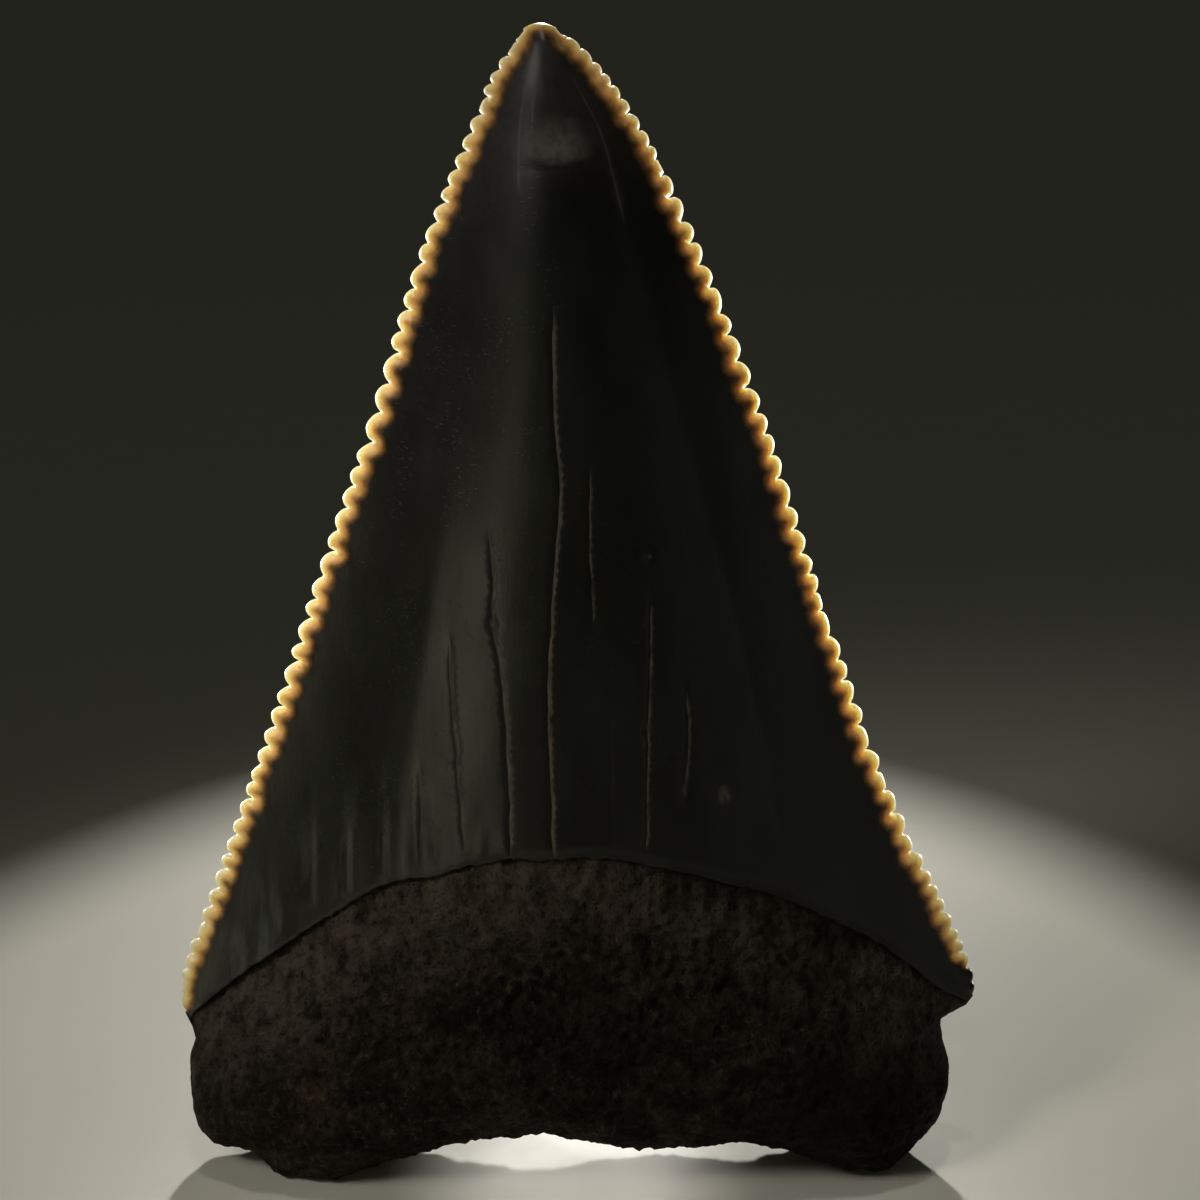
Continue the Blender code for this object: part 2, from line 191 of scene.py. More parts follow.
# The two soft ridges that bound the convex middle of the inner face, as (x, z) from the foot up.
FACE_RIDGES = [
    [(-8.9, 10.0), (-7.95, 17.4), (-5.95, 29.6), (-4.5, 37.0)],
    [(9.9, 10.0), (9.1, 16.2), (7.2, 25.4), (4.45, 35.2), (1.05, 47.7), (0.4, 50.0)],
]
RIDGE_HEIGHT = 0.20
RIDGE_REACH = 1.6
RIDGE_ROUND = 0.20
# They fade out over this length at their top, and rise over RIDGE_RISE from RIDGE_FOOT.
RIDGE_FADE = 7.0
RIDGE_FOOT = 12.0
RIDGE_RISE = 6.0
# Folds in the enamel at the foot of the crown, as (x, lowest z, highest z, width, height). Each
# rises gently from the left and drops off at its right.
FOOT_FOLDS = [
    (-12.1, 13.0, 19.6, 0.9, 0.05),
    (-10.35, 13.8, 18.6, 0.62, 0.09),
    (-8.55, 15.0, 19.9, 0.62, 0.09),
    (-7.00, 15.8, 21.4, 0.70, 0.05),
    (-6.20, 16.2, 19.8, 0.45, 0.05),
    (-4.10, 16.6, 18.6, 0.50, 0.04),
    (-2.95, 16.8, 18.4, 0.70, 0.05),
]
# The reach of that drop, and how far a fold leans to the right per millimetre of height.
FOLD_DROP = 0.07
FOLD_LEAN = 0.02
# Faint waves of the enamel, and upright ones at the left of its foot, as (height, size along each
# axis, shift into the noise).
ENAMEL_WAVES = [(0.012, (1.6, 1.6, 3.0), 3.0), (0.004, (0.5, 0.5, 1.2), 5.0)]
FOOT_WAVES = (0.03, (0.6, 3.0, 9.0), 8.0)
# Small chips along the cracks, as (x, z, radius across, radius up, depth).
CRACK_CHIPS = [
    (3.14, 30.02, 0.14, 0.20, 0.10),
    (3.13, 22.39, 0.16, 0.26, 0.12),
    (4.77, 19.60, 0.16, 0.50, 0.10),
    (-3.60, 27.20, 0.12, 0.30, 0.08),
    (6.54, 19.10, 0.45, 0.60, 0.05),
]
# Darker patches of the inner face of the root, partly stains and partly painted shade towards the right,
# the bottom and under the enamel's right lip, as (x, z, radius across, radius up, strength).
ROOT_STAINS_AND_SHADE = [
    (1.0, 8.0, 3.4, 3.4, 0.75),
    (-6.2, 7.3, 4.0, 2.8, 0.45),
    (11.5, 4.2, 6.0, 4.4, 0.93),
    (13.2, 12.4, 4.8, 2.6, 0.92),
    (6.5, 15.6, 3.2, 1.2, 0.5),
    (-16.6, 4.4, 2.0, 2.4, 0.35),
    (-0.8, 2.6, 5.0, 1.6, 0.6),
]
# Dents, chips and steps of the root, as (x, z, radius across, radius up, depth). One stands out.
ROOT_DENTS = [
    (-12.1, 8.9, 0.35, 0.70, 0.22),
    (-10.6, 9.3, 0.65, 0.35, 0.20),
    (-11.4, 7.6, 0.45, 0.40, 0.13),
    (-12.0, 6.7, 0.40, 0.50, 0.16),
    (-12.6, 5.7, 0.50, 0.40, 0.13),
    (-14.5, 5.0, 1.90, 0.14, 0.12),
    (7.1, 10.2, 0.32, 0.30, 0.28),
    (3.3, 3.8, 0.55, 0.50, 0.22),
    (4.7, 3.4, 0.75, 0.26, -0.28),
    (4.8, 5.2, 0.9, 0.40, 0.20),
    (-13.3, 6.5, 1.4, 0.16, 0.14),
    (-12.6, 6.0, 1.5, 0.16, 0.12),
    (-15.7, 1.9, 1.0, 0.30, 0.18),
    (1.2, 6.6, 0.9, 0.35, 0.25),
    (-1.5, 5.5, 0.5, 0.35, 0.22),
    (9.5, 6.2, 0.8, 0.40, 0.18),
    (13.5, 4.2, 0.9, 0.50, 0.15),
]
# The wear facet on the inner face below the tip, and the chipped line at its foot, in the same way.
TIP_FACET = (-0.65, 47.5, 1.15, 1.5, 0.10)
TIP_CHIP = (-0.95, 46.2, 0.75, 0.11, 0.09)
# Faint lines of wear below the tip, as points (x, z) from the top down.
WEAR_LINES = [
    [(-1.89, 50.5), (-2.31, 47.7), (-2.32, 44.9)],
    [(-1.45, 50.6), (-1.75, 48.6), (-1.80, 46.8)],
    [(-0.03, 49.7), (1.0, 47.7), (2.04, 43.7)],
    [(-1.28, 51.5), (-1.25, 50.9)],
]
WEAR_LINE_HALF_WIDTH = 0.07
WEAR_LINE_FADE = 1.2
WEAR_LINES_FOOT = 43.0
# How dull the wear lines and the whole tip are, where the facet is 1.
WEAR_LINE_SHARE = 0.6
TIP_WEAR_SHARE = 0.22
TIP_WEAR_FOOT = 44.0
TIP_WEAR_RISE = 6.0
# The facet's foot bows up at its sides, wanders and fades.
FACET_BOW = 0.35
FACET_WANDER = 0.25
FACET_FOOT_FADE = 0.25
# Tiny pits in the facet, as (x, z, radius).
TIP_PITS = [
    (-0.35, 48.3, 0.09),
    (0.0, 48.25, 0.07),
    (0.35, 47.45, 0.12),
    (0.75, 47.35, 0.10),
    (0.2, 47.8, 0.06),
]
PIT_DEPTH = 0.06

# Rows of points of the fine mesh beside the cracks, the wear lines and the junction, by their
# shifts, and the room from the outline and gap between points that they are given.
CRACK_ROWS = (0.0, -0.06, 0.06)
CRACK_ROOM = (0.3, 0.05)
WEAR_STEP = 0.14
WEAR_ROWS = (0.0, -0.08, 0.08)
WEAR_ROOM = (0.3, 0.06)
JUNCTION_STEP = 0.17
JUNCTION_ROWS = (-0.16, -0.05, 0.06, 0.17)
JUNCTION_ROOM = (0.2, 0.09)
# Rings inside the outline, by how far in they lie, or by the angle on the root's rounded rim.
RING_ROOM = 0.85
EDGE_RINGS = (0.05, 0.13, 0.26)
EDGE_GAP = 0.04
EDGE_GAP_GROWTH = 0.25
CROWN_RINGS = (0.62, 0.80, 1.00, 1.22)
CROWN_RING_STEP = 0.2
CROWN_RING_ROOM = (0.34, 0.13)
ROOT_RING_ANGLES = (7, 14, 21, 28, 35, 43, 51, 59, 67, 75)
ROOT_RING_GAP = 0.6
ROOT_RIM_SPACING = 0.18
# Grids that fill the rest, by their spacing on each face.
CROWN_SPACING = {"inner": 0.235, "outer": 0.29}
CROWN_HEIGHTS = (7.0, 52.5)
CROWN_ROOM = 0.34
ROOT_SPACING = {"inner": 0.170, "outer": 0.215}
ROOT_HEIGHTS = (-1.0, 17.2)
ROOT_ROOM = 0.2
GRID_LEFT = -19.5
GRID_WIDTH = 39.0
GRID_GAP = 0.62
# The search grid's cell, the sampling of lines that distances are measured from, and the limits of
# the triangulation.
SPREAD_CELL = 0.1
OUTLINE_SAMPLE = 0.03
AT_ONCE = 4000
BRIDGE_ROUNDS = 8
SMALLEST_GAP = 1e-7

# The root's relief, and how much the grain and the pores gain in its porous band, which is given
# as (x, z, radius across, radius up).
LUMP_RISE = 0.18
GRAIN_RISE = 0.15
FINE_RISE = 0.10
FIBRE_RISE = 0.030
PORE_DEPTH = 0.06
POROUS_BAND = (0.0, 8.5, 12.0, 3.4)
POROUS_GRAIN = 0.10
POROUS_PORES = 0.07
# Towards the outline the root's relief falls to this share over this distance, and the enamel's
# relief falls to nothing over its own.
RIM_RELIEF = 0.3
RIM_RELIEF_REACH = 1.0
ENAMEL_RELIEF_REACH = 0.5
# The groove below the crown's foot, by half width and depth.
CREVICE = 0.09
CREVICE_DEPTH = 0.08
# Points of the smooth tooth lower than this stay on the ground.
GROUND_BAND = 0.02

# How far in from the cutting edge the painted glow reaches: pale colours of the thin edge that stand in for
# the back light shining through it.
PAINTED_GLOW_REACH = 0.92
# Above TIP_AMBER_FOOT the edge's painted glow takes the colour of a place this much further in.
TIP_AMBER = 0.22
TIP_AMBER_FOOT = 50.8
TIP_AMBER_RISE = 0.8
# Below these heights the edge's painted glow turns dark, at the left shoulder (-1) and the right one (1).
SHOULDER_GLOW = {-1: 7.9, 1: 9.9}
SHOULDER_FADE = 1.4

# The studio: a round cove whose floor turns up into a low wall, the lights and the camera.
COVE_FLOOR_RADIUS = 520.0
COVE_CURVE_RADIUS = 160.0
COVE_WALL_HEIGHT = 330.0
COVE_SIDES = 96
# Narrow lights as (name, place, target, cone in degrees, blend, radius, watts, colour).
SPOT_LIGHTS = [
    ("pool", (0.0, 190.0, 118.0), (0.0, 0.0, 14.0), 25.2, 0.05, 6.0, 1.12, (1.0, 0.98, 0.92)),
    ("front_pool", (0.0, -17.0, 240.0), (0.0, -15.0, 0.0), 14.0, 0.7, 6.0, 0.28, (1.0, 0.97, 0.90)),
    ("arch_back", (2.0, 170.0, 17.0), (0.0, -3.0, 0.4), 4.6, 0.6, 3.0, 1.9, (1.0, 0.96, 0.88)),
    ("edge_left", (-140.0, 130.0, 24.0), (-3.0, 0.0, 30.5), 13.5, 0.6, 8.0, 2.9, (1.0, 0.97, 0.90)),
    ("edge_right", (140.0, 130.0, 24.0), (3.0, 0.0, 30.5), 13.5, 0.6, 8.0, 2.9, (1.0, 0.97, 0.90)),
]
# Soft lights as (name, place, target, width, height, spread in degrees, watts, colour).
SOFT_LIGHTS = [
    ("front_left", (-75.0, -83.0, 18.0), (-5.0, -3.0, 22.0), 28.0, 32.0, 100.0, 0.0014, (1.0, 0.98, 0.68)),
    ("front_right", (98.0, -58.0, 26.0), (6.0, -3.0, 24.0), 40.0, 50.0, 120.0, 0.0004, (1.0, 0.99, 0.95)),
    ("upper_left", (-85.0, -62.0, 100.0), (-6.0, 0.0, 14.0), 40.0, 40.0, 36.0, 0.0030, (1.0, 0.96, 0.88)),
]
BACKDROP_TINT = (0.95, 1.0, 0.85)
SENSOR_WIDTH = 36.0
CAMERA_PLACE = (1.093, -84.884, 51.4)


def smooth_line(points, step):
    """Points about step apart along a smooth curve through the given ones."""
    points = np.array(points, float)
    chords = np.linalg.norm(np.diff(points, axis=0), axis=1)
    at = np.concatenate([[0.0], np.cumsum(np.sqrt(chords))])
    slopes = np.gradient(points, at, axis=0)
    fine = []
    for i in range(len(points) - 1):
        span = at[i + 1] - at[i]
        t = np.linspace(0.0, 1.0, SPAN_POINTS, endpoint=False)[:, None]
        fine.append(
            (1 + 2 * t) * (1 - t) ** 2 * points[i]
            + t * (1 - t) ** 2 * span * slopes[i]
            + t * t * (3 - 2 * t) * points[i + 1]
            + t * t * (t - 1) * span * slopes[i + 1]
        )
    return even_line(np.concatenate(fine + [points[-1:]]), step)


def even_line(line, step):
    """The line again, with points about step apart."""
    along = lengths_along(line)
    at = np.linspace(0.0, along[-1], max(2, round(along[-1] / step) + 1))
    return np.stack([np.interp(at, along, line[:, k]) for k in (0, 1)], axis=1)


def lengths_along(line):
    return np.concatenate([[0.0], np.cumsum(np.linalg.norm(np.diff(line, axis=0), axis=1))])


def outward(line):
    """Unit normals of a line that runs clockwise round the tooth."""
    tangent = np.gradient(line, axis=0)
    tangent /= np.maximum(np.linalg.norm(tangent, axis=1, keepdims=True), 1e-9)
    return np.stack([-tangent[:, 1], tangent[:, 0]], axis=1)


def smoothstep(t):
    t = np.clip(t, 0.0, 1.0)
    return t * t * (3 - 2 * t)


def bell(t):
    """1 at 0, falling softly to 0 on both sides."""
    return np.exp(-(t**2))


def flat_points(x, z):
    return np.stack([x, z], axis=1)


def dip(x, z, spot):
    """A soft round hollow of depth 1, where spot starts with (x, z, radius across, radius up)."""
    return np.exp(-(((x - spot[0]) / spot[2]) ** 2) - ((z - spot[1]) / spot[3]) ** 2)


def lumps(points, size, seed):
    """Noise from about -1 to 1 with lumps of the given size, the same along each axis or not."""
    scale = np.broadcast_to(np.array(size, float), (3,))
    return np.array([noise.noise(Vector(p)) for p in points / scale + seed])


def pits(points, size, seed, spread):
    """1 in the middle of scattered pits and 0 away from them."""
    found = [noise.voronoi(Vector(p))[0][0] for p in points / size + seed]
    return 1 - smoothstep(np.array(found) / spread)


def serration_stops(top, along, heights, direction, rng):
    """Where the serrations of one edge begin and end, measured along the crown's outline."""
    end = along[-1] if direction > 0 else 0.0
    stops = [top + direction * WORN_TIP]
    pitch_heights, pitches = zip(*PITCH_AT_HEIGHT)
    while direction * (end - stops[-1]) > SHORTEST_LAST * pitches[0]:
        height = np.interp(stops[-1], along, heights)
        pitch = np.interp(height, pitch_heights, pitches)
        stops.append(stops[-1] + direction * pitch * (1 + PITCH_VARIATION * rng.uniform(-1, 1)))
    stops[-1] = end
    return stops


def bead(phase, lean):
    """The height of one serration from notch to notch, fuller on one side."""
    return math.sin(math.pi * phase**lean) ** BEAD_ROUNDNESS


def crown_edge(line):
    """The serrated outline of the crown, with its beads drawn round."""
    rng = random.Random(SEED)
    wear_rng = random.Random(SEED + 1)
    along = lengths_along(line)
    top = along[int(np.argmax(line[:, 1]))]
    normals = outward(line)
    found = [(top + share * WORN_TIP, 0.0) for share in np.linspace(-0.9, 0.9, TIP_POINTS)]
    for direction in (-1, 1):
        stops = serration_stops(top, along, line[:, 1], direction, rng)
        for start, stop in zip(stops, stops[1:]):
            worn = smoothstep((abs(start - top) - WORN_TIP) / WORN_REACH[direction])
            notch = NOTCH_SHARE * abs(stop - start) * (1 - TIP_WEAR * (1 - worn))
            notch *= 1 + BEAD_VARIATION * wear_rng.uniform(-1, 1)
            notch *= 1 - SHOULDER_WEAR * smoothstep(1 - abs(start - stops[-1]) / SHOULDER_REACH)
            lean = BEAD_LEAN[direction] * (1 + BEAD_VARIATION * wear_rng.uniform(-1, 1))
            blunt = BLUNT_DEPTH if wear_rng.random() < BLUNT_SHARE else 0.0
            for step in range(BEAD_POINTS):
                phase = step / BEAD_POINTS
                height = bead(phase, lean)
                found.append((start + phase * (stop - start), notch * (1 - height) + blunt * height**2))
        found.append((stops[-1], 0.0))
    at, inset = np.array(sorted(found)).T
    place = np.stack([np.interp(at, along, line[:, k]) for k in (0, 1)], axis=1)
    normal = np.stack([np.interp(at, along, normals[:, k]) for k in (0, 1)], axis=1)
    return place - normal * inset[:, None]


def distance_tree(line):
    """A search tree over a line, sampled closely."""
    dense = even_line(line, OUTLINE_SAMPLE)
    tree = kdtree.KDTree(len(dense))
    for i, (x, z) in enumerate(dense):
        tree.insert((x, z, 0.0), i)
    tree.balance()
    return tree


def distances(tree, points):
    return np.array([tree.find((x, z, 0.0))[2] for x, z in points])


def inside(loop, points):
    """Whether each point is inside the closed outline, by crossing count, AT_ONCE points at a time."""
    start, end = loop, np.roll(loop, -1, axis=0)
    rise = np.where(start[:, 1] == end[:, 1], 1.0, end[:, 1] - start[:, 1])
    slope = (end[:, 0] - start[:, 0]) / rise
    found = np.zeros(len(points), bool)
    for first in range(0, len(points), AT_ONCE):
        some = slice(first, first + AT_ONCE)
        x, z = points[some, :1], points[some, 1:]
        spans = (start[None, :, 1] > z) != (end[None, :, 1] > z)
        crossing = start[None, :, 0] + (z - start[None, :, 1]) * slope[None]
        found[some] = (spans & (x < crossing)).sum(axis=1) % 2 == 1
    return found


class ToothShape:
    """The outline and the thickness of the tooth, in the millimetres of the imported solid's drawing."""

    def __init__(self):
        self.crown_line = smooth_line(CROWN_OUTLINE, LINE_STEP)
        self.root_line = smooth_line(ROOT_OUTLINE, LINE_STEP)
        top = int(np.argmax(self.crown_line[:, 1]))
        self.tip = self.crown_line[top]
        self.left_edge = self.crown_line[: top + 1]
        self.right_edge = self.crown_line[top:][::-1]
        self.junction = {
            "inner": smooth_line(INNER_JUNCTION, LINE_STEP),
            "outer": smooth_line(OUTER_JUNCTION, LINE_STEP),
        }
        serrated = crown_edge(self.crown_line)
        self.serrated = serrated
        self.outline = np.concatenate([serrated, even_line(self.root_line, ROOT_RIM_SPACING)])
        self.rim_tree = distance_tree(np.concatenate([self.outline, self.outline[:1]]))
        self.cutting_tree = distance_tree(serrated)
        self.cracks = [
            (strength, wandering(smooth_line(points, CRACK_STEP), number))
            for number, (strength, points) in enumerate(CRACKS)
        ]

    def crown_span(self, z):
        """The middle and half width of the crown at a height."""
        left = np.interp(z, self.left_edge[:, 1], self.left_edge[:, 0])
        right = np.interp(z, self.right_edge[:, 1], self.right_edge[:, 0])
        return (left + right) / 2, np.maximum((right - left) / 2, NARROWEST_HALF_WIDTH)

    def junction_height(self, x, face):
        """How high the crown's foot lies at each x."""
        line = self.junction[face]
        shift = JUNCTION_NOISE[face]
        wander = [
            noise.noise(Vector((place / LONG_WAVE, shift, 0.0)))
            + SHORT_WAVE_SHARE * noise.noise(Vector((place / SHORT_WAVE, shift, 5.0)))
            for place in np.atleast_1d(x)
        ]
        return np.interp(x, line[:, 0], line[:, 1]) + JUNCTION_WANDER * np.array(wander)

    def crown_depth(self, x, z, face):
        """The crown's thickness from the middle plane to one face."""
        middle, half = self.crown_span(z)
        u = np.clip(np.abs(x - middle) / half, 0.0, 1.0)
        core = CORE_DEPTH * (1 - np.exp(-half / CORE_WIDTH))
        if face == "inner":
            body = 1 - INNER_CURVE * u**2 + (INNER_CURVE - 1) * u**4
            return EDGE_HALF_THICKNESS + (INNER_DEPTH_PER_WIDTH * half + core) * body
        body = 1 - u**OUTER_CURVE_POWER
        return EDGE_HALF_THICKNESS + (OUTER_DEPTH_PER_WIDTH * half + OUTER_CORE_SHARE * core) * body

    def root_depth(self, x, z, top, face):
        """The root's thickness in the same way, under the crown's foot at the height top."""
        reach = np.clip(np.abs(x) / LOBE_REACH, 0.0, 1.1)
        crown = self.crown_depth(x, top, face) - ENAMEL_LIP
        under = np.clip((top - z) / top, 0.0, 1.0)
        full = ROOT_FULL[face] - LOBE_LOSS[face] * reach**2
        return crown + (full - crown) * smoothstep(under / THICKEST_SHARE)

    def middle(self, z):
        """How far the root's middle plane stands from the crown's cutting edges."""
        return ROOT_MIDDLE * smoothstep((MIDDLE_STEP_TOP - z) / MIDDLE_STEP_LENGTH)

    def depth(self, x, z, face):
        """The thickness from the middle plane to one face, with the rim rounded over."""
        top = self.junction_height(x, face)
        below = smoothstep((top - z) / LIP_WIDTH + 0.5)
        whole = self.crown_depth(x, z, face) * (1 - below) + self.root_depth(x, z, top, face) * below
        flat = np.stack([x, z, np.full_like(x, LUMP_NOISE[face] * LUMP_SIZE)], axis=1)
        whole += below * ROOT_LUMPS * lumps(flat, LUMP_SIZE, 0.0)
        if face == "inner":
            for hole_x, hole_z, radius, deep in NUTRIENT_HOLES:
                whole -= deep * dip(x, z, (hole_x, hole_z, radius, radius))
        round_share = smoothstep((ROUND_CHANGE_TOP - z) / ROUND_CHANGE_LENGTH)
        rim = EDGE_ROUND + (ROOT_ROUND - EDGE_ROUND) * round_share
        near = np.clip(distances(self.rim_tree, flat_points(x, z)) / rim, 0.0, 1.0)
        return whole * np.sqrt(1 - (1 - near) ** 2)


def wandering(line, number):
    """A crack's line with the small turns that a real crack takes."""
    shift = np.zeros(len(line))
    for start, length, share in CRACK_TURNS:
        turns = [noise.noise(Vector((start, z / length, 7.0 * number))) for z in line[:, 1]]
        shift += share * CRACK_WANDER * np.array(turns)
    return line + np.stack([shift, np.zeros(len(line))], axis=1)


def fill_grid(spacing, low, high):
    """A grid of equilateral triangles over the tooth between two heights."""
    rise = spacing * math.sqrt(0.75)
    row, column = np.mgrid[0 : int((high - low) / rise) + 1, 0 : int(GRID_WIDTH / spacing)]
    x = GRID_LEFT + (column + 0.5 * (row % 2)) * spacing
    return np.stack([x.ravel(), (low + row * rise).ravel()], axis=1)


class Spread:
    """Points taken one after another, each with a clear space round it."""

    def __init__(self, cell):
        self.cell = cell
        self.grid = {}
        self.points = []

    def clear(self, x, z, gap):
        reach = int(gap / self.cell) + 1
        column, row = int(x // self.cell), int(z // self.cell)
        for i in range(column - reach, column + reach + 1):
            for j in range(row - reach, row + reach + 1):
                for other in self.grid.get((i, j), ()):
                    if (other[0] - x) ** 2 + (other[1] - z) ** 2 < gap * gap:
                        return False
        return True

    def add(self, points, gap):
        for x, z in points:
            if self.clear(x, z, gap):
                self.grid.setdefault((int(x // self.cell), int(z // self.cell)), []).append((x, z))
                self.points.append((x, z))


def point_layers(shape, face):
    """Rows of points for one face as (points, room from the outline, gap between points)."""
    layers = []
    if face == "inner":
        for _, line in shape.cracks:
            layers += [(line + (shift, 0.0), *CRACK_ROOM) for shift in CRACK_ROWS]
        for points in WEAR_LINES:
            line = smooth_line(points, WEAR_STEP)
            layers += [(line + (shift, 0.0), *WEAR_ROOM) for shift in WEAR_ROWS]
    junction = even_line(shape.junction[face], JUNCTION_STEP)
    junction[:, 1] = shape.junction_height(junction[:, 0], face)
    layers += [(junction + (0.0, shift), *JUNCTION_ROOM) for shift in JUNCTION_ROWS]
    for inset in EDGE_RINGS:
        ring = shape.serrated - outward(shape.serrated) * inset
        layers.append((ring, RING_ROOM * inset, EDGE_GAP + EDGE_GAP_GROWTH * inset))
    for inset in CROWN_RINGS:
        ring = even_line(shape.crown_line - outward(shape.crown_line) * inset, CROWN_RING_STEP)
        layers.append((ring, *CROWN_RING_ROOM))
    for angle in ROOT_RING_ANGLES:
        inset = ROOT_ROUND * (1 - math.cos(math.radians(angle)))
        ring = even_line(shape.root_line - outward(shape.root_line) * inset, ROOT_RIM_SPACING)
        gap = ROOT_RING_GAP * min(ROOT_RIM_SPACING, inset + 0.08)
        layers.append((ring, RING_ROOM * inset, gap))
    for spacing, heights, room in (
        (ROOT_SPACING[face], ROOT_HEIGHTS, ROOT_ROOM),
        (CROWN_SPACING[face], CROWN_HEIGHTS, CROWN_ROOM),
    ):
        layers.append((fill_grid(spacing, *heights), room, GRID_GAP * spacing))
    return layers


def face_points(shape, face):
    """The points of one face inside the outline."""
    spread = Spread(SPREAD_CELL)
    for points, room, gap in point_layers(shape, face):
        points = points[inside(shape.outline, points)]
        points = points[distances(shape.rim_tree, points) > room]
        spread.add(points, gap)
    return np.array(spread.points)


def rim_bridges(triangles, count):
    """The edges of a triangulation that join two rim points across the tooth."""
    found = set()
    for triangle in triangles:
        for a, b in zip(triangle, triangle[1:] + triangle[:1]):
            if max(a, b) < count and abs(a - b) not in (1, count - 1):
                found.add((min(a, b), max(a, b)))
    return sorted(found)


def triangulate(outline, inner):
    """Triangles over the outline and the inner points, with a point added on each bridge."""
    count = len(outline)
    edges = [(i, (i + 1) % count) for i in range(count)]
    for _ in range(BRIDGE_ROUNDS):
        flat = np.concatenate([outline, inner])
        corners = [Vector(point) for point in flat]
        made, _, triangles, _, _, _ = geometry.delaunay_2d_cdt(corners, edges, [], 1, SMALLEST_GAP)
        if len(made) != len(flat):
            raise RuntimeError("the tooth's outline crosses itself")
        triangles = [tuple(t) for t in triangles]
        bridges = rim_bridges(triangles, count)
        if not bridges:
            return flat, triangles
        inner = np.concatenate([inner, [(outline[a] + outline[b]) / 2 for a, b in bridges]])
    raise RuntimeError("two stretches of the outline stay joined across the tooth")


class FineMesh:
    """The points and triangles of both faces, joined along the outline."""

    def __init__(self, shape):
        rim = shape.outline
        self.points = [np.stack([rim[:, 0], shape.middle(rim[:, 1]), rim[:, 1]], axis=1)]
        self.side = [np.zeros(len(rim))]
        self.triangles = []
        self.is_root = []
        self.count = len(rim)
        for face in ("inner", "outer"):
            self.add_face(shape, face)
        self.points = np.concatenate(self.points)
        self.side = np.concatenate(self.side)

    def add_face(self, shape, face):
        rim_count = len(shape.outline)
        flat, triangles = triangulate(shape.outline, face_points(shape, face))
        x, z = flat[rim_count:].T
        sign = -1.0 if face == "inner" else 1.0
        y = shape.middle(z) + sign * shape.depth(x, z, face)
        self.points.append(np.stack([x, y, z], axis=1))
        self.side.append(np.full(len(x), sign))
        corners = np.array(triangles)
        centres = flat[corners].mean(axis=1)
        moved = np.where(corners < rim_count, corners, corners - rim_count + self.count)
        self.triangles.append(moved if face == "inner" else moved[:, ::-1])
        self.is_root.append(centres[:, 1] < shape.junction_height(centres[:, 0], face))
        self.count += len(x)


def crack_depths(shape, x, z):
    """How deep each point lies in a crack, from 0 to the crack's strength."""
    found = np.zeros(len(x))
    flat = flat_points(x, z)
    for strength, line in shape.cracks:
        low, high = line.min(axis=0) - 0.5, line.max(axis=0) + 0.5
        near = np.flatnonzero(((flat > low) & (flat < high)).all(axis=1))
        away = distances(distance_tree(line), flat[near])
        run = smoothstep((line[0, 1] - flat[near, 1]) / CRACK_FADE_TOP)
        run *= smoothstep((flat[near, 1] - line[-1, 1]) / CRACK_FADE_FOOT + 0.4)
        found[near] = np.maximum(found[near], strength * run * bell(away / CRACK_HALF_WIDTH))
    return found


def face_ridges(x, z):
    """The two soft ridges that run from the foot of the crown towards its tip."""
    height = np.zeros(len(x))
    for ridge in FACE_RIDGES:
        ridge_x, ridge_z = np.array(ridge).T
        away = np.sqrt((x - np.interp(z, ridge_z, ridge_x)) ** 2 + RIDGE_ROUND**2)
        height += RIDGE_HEIGHT * np.exp(-away / RIDGE_REACH) * smoothstep((ridge_z[-1] - z) / RIDGE_FADE)
    return height * smoothstep((z - RIDGE_FOOT) / RIDGE_RISE)


def foot_folds(x, z):
    """The folds in the enamel at the foot of the crown, each fading out at both ends."""
    height = np.zeros(len(x))
    for fold_x, low, high, width, rise in FOOT_FOLDS:
        away = x - fold_x - FOLD_LEAN * (z - low)
        profile = np.where(away < 0, smoothstep(1 + away / width), bell(away / FOLD_DROP))
        run = smoothstep((high - z) / (0.7 * (high - low)))
        height += rise * profile * run * smoothstep((z - low) / 0.3)
    return height


def wear_marks(x, z, points):
    """Where the enamel below the tip is rubbed dull, from 0 to 1."""
    facet_x, facet_z, across, up, _ = TIP_FACET
    rise = FACET_BOW * ((x - facet_x) / across) ** 2 + FACET_WANDER * lumps(points, 0.6, 61.0)
    below = smoothstep((z - facet_z + 0.85 * up - rise) / FACET_FOOT_FADE)
    above = smoothstep((facet_z + up - z) / (1.3 * up))
    found = bell((x - facet_x) / across) * below * above
    found = np.maximum(found, TIP_WEAR_SHARE * smoothstep((z - TIP_WEAR_FOOT) / TIP_WEAR_RISE))
    near = np.flatnonzero(z > WEAR_LINES_FOOT)
    flat = flat_points(x[near], z[near])
    for line in WEAR_LINES:
        away = distances(distance_tree(smooth_line(line, 0.1)), flat)
        run = smoothstep((flat[:, 1] - line[-1][1]) / WEAR_LINE_FADE)
        line_wear = WEAR_LINE_SHARE * run * bell(away / WEAR_LINE_HALF_WIDTH)
        found[near] = np.maximum(found[near], line_wear)
    return found


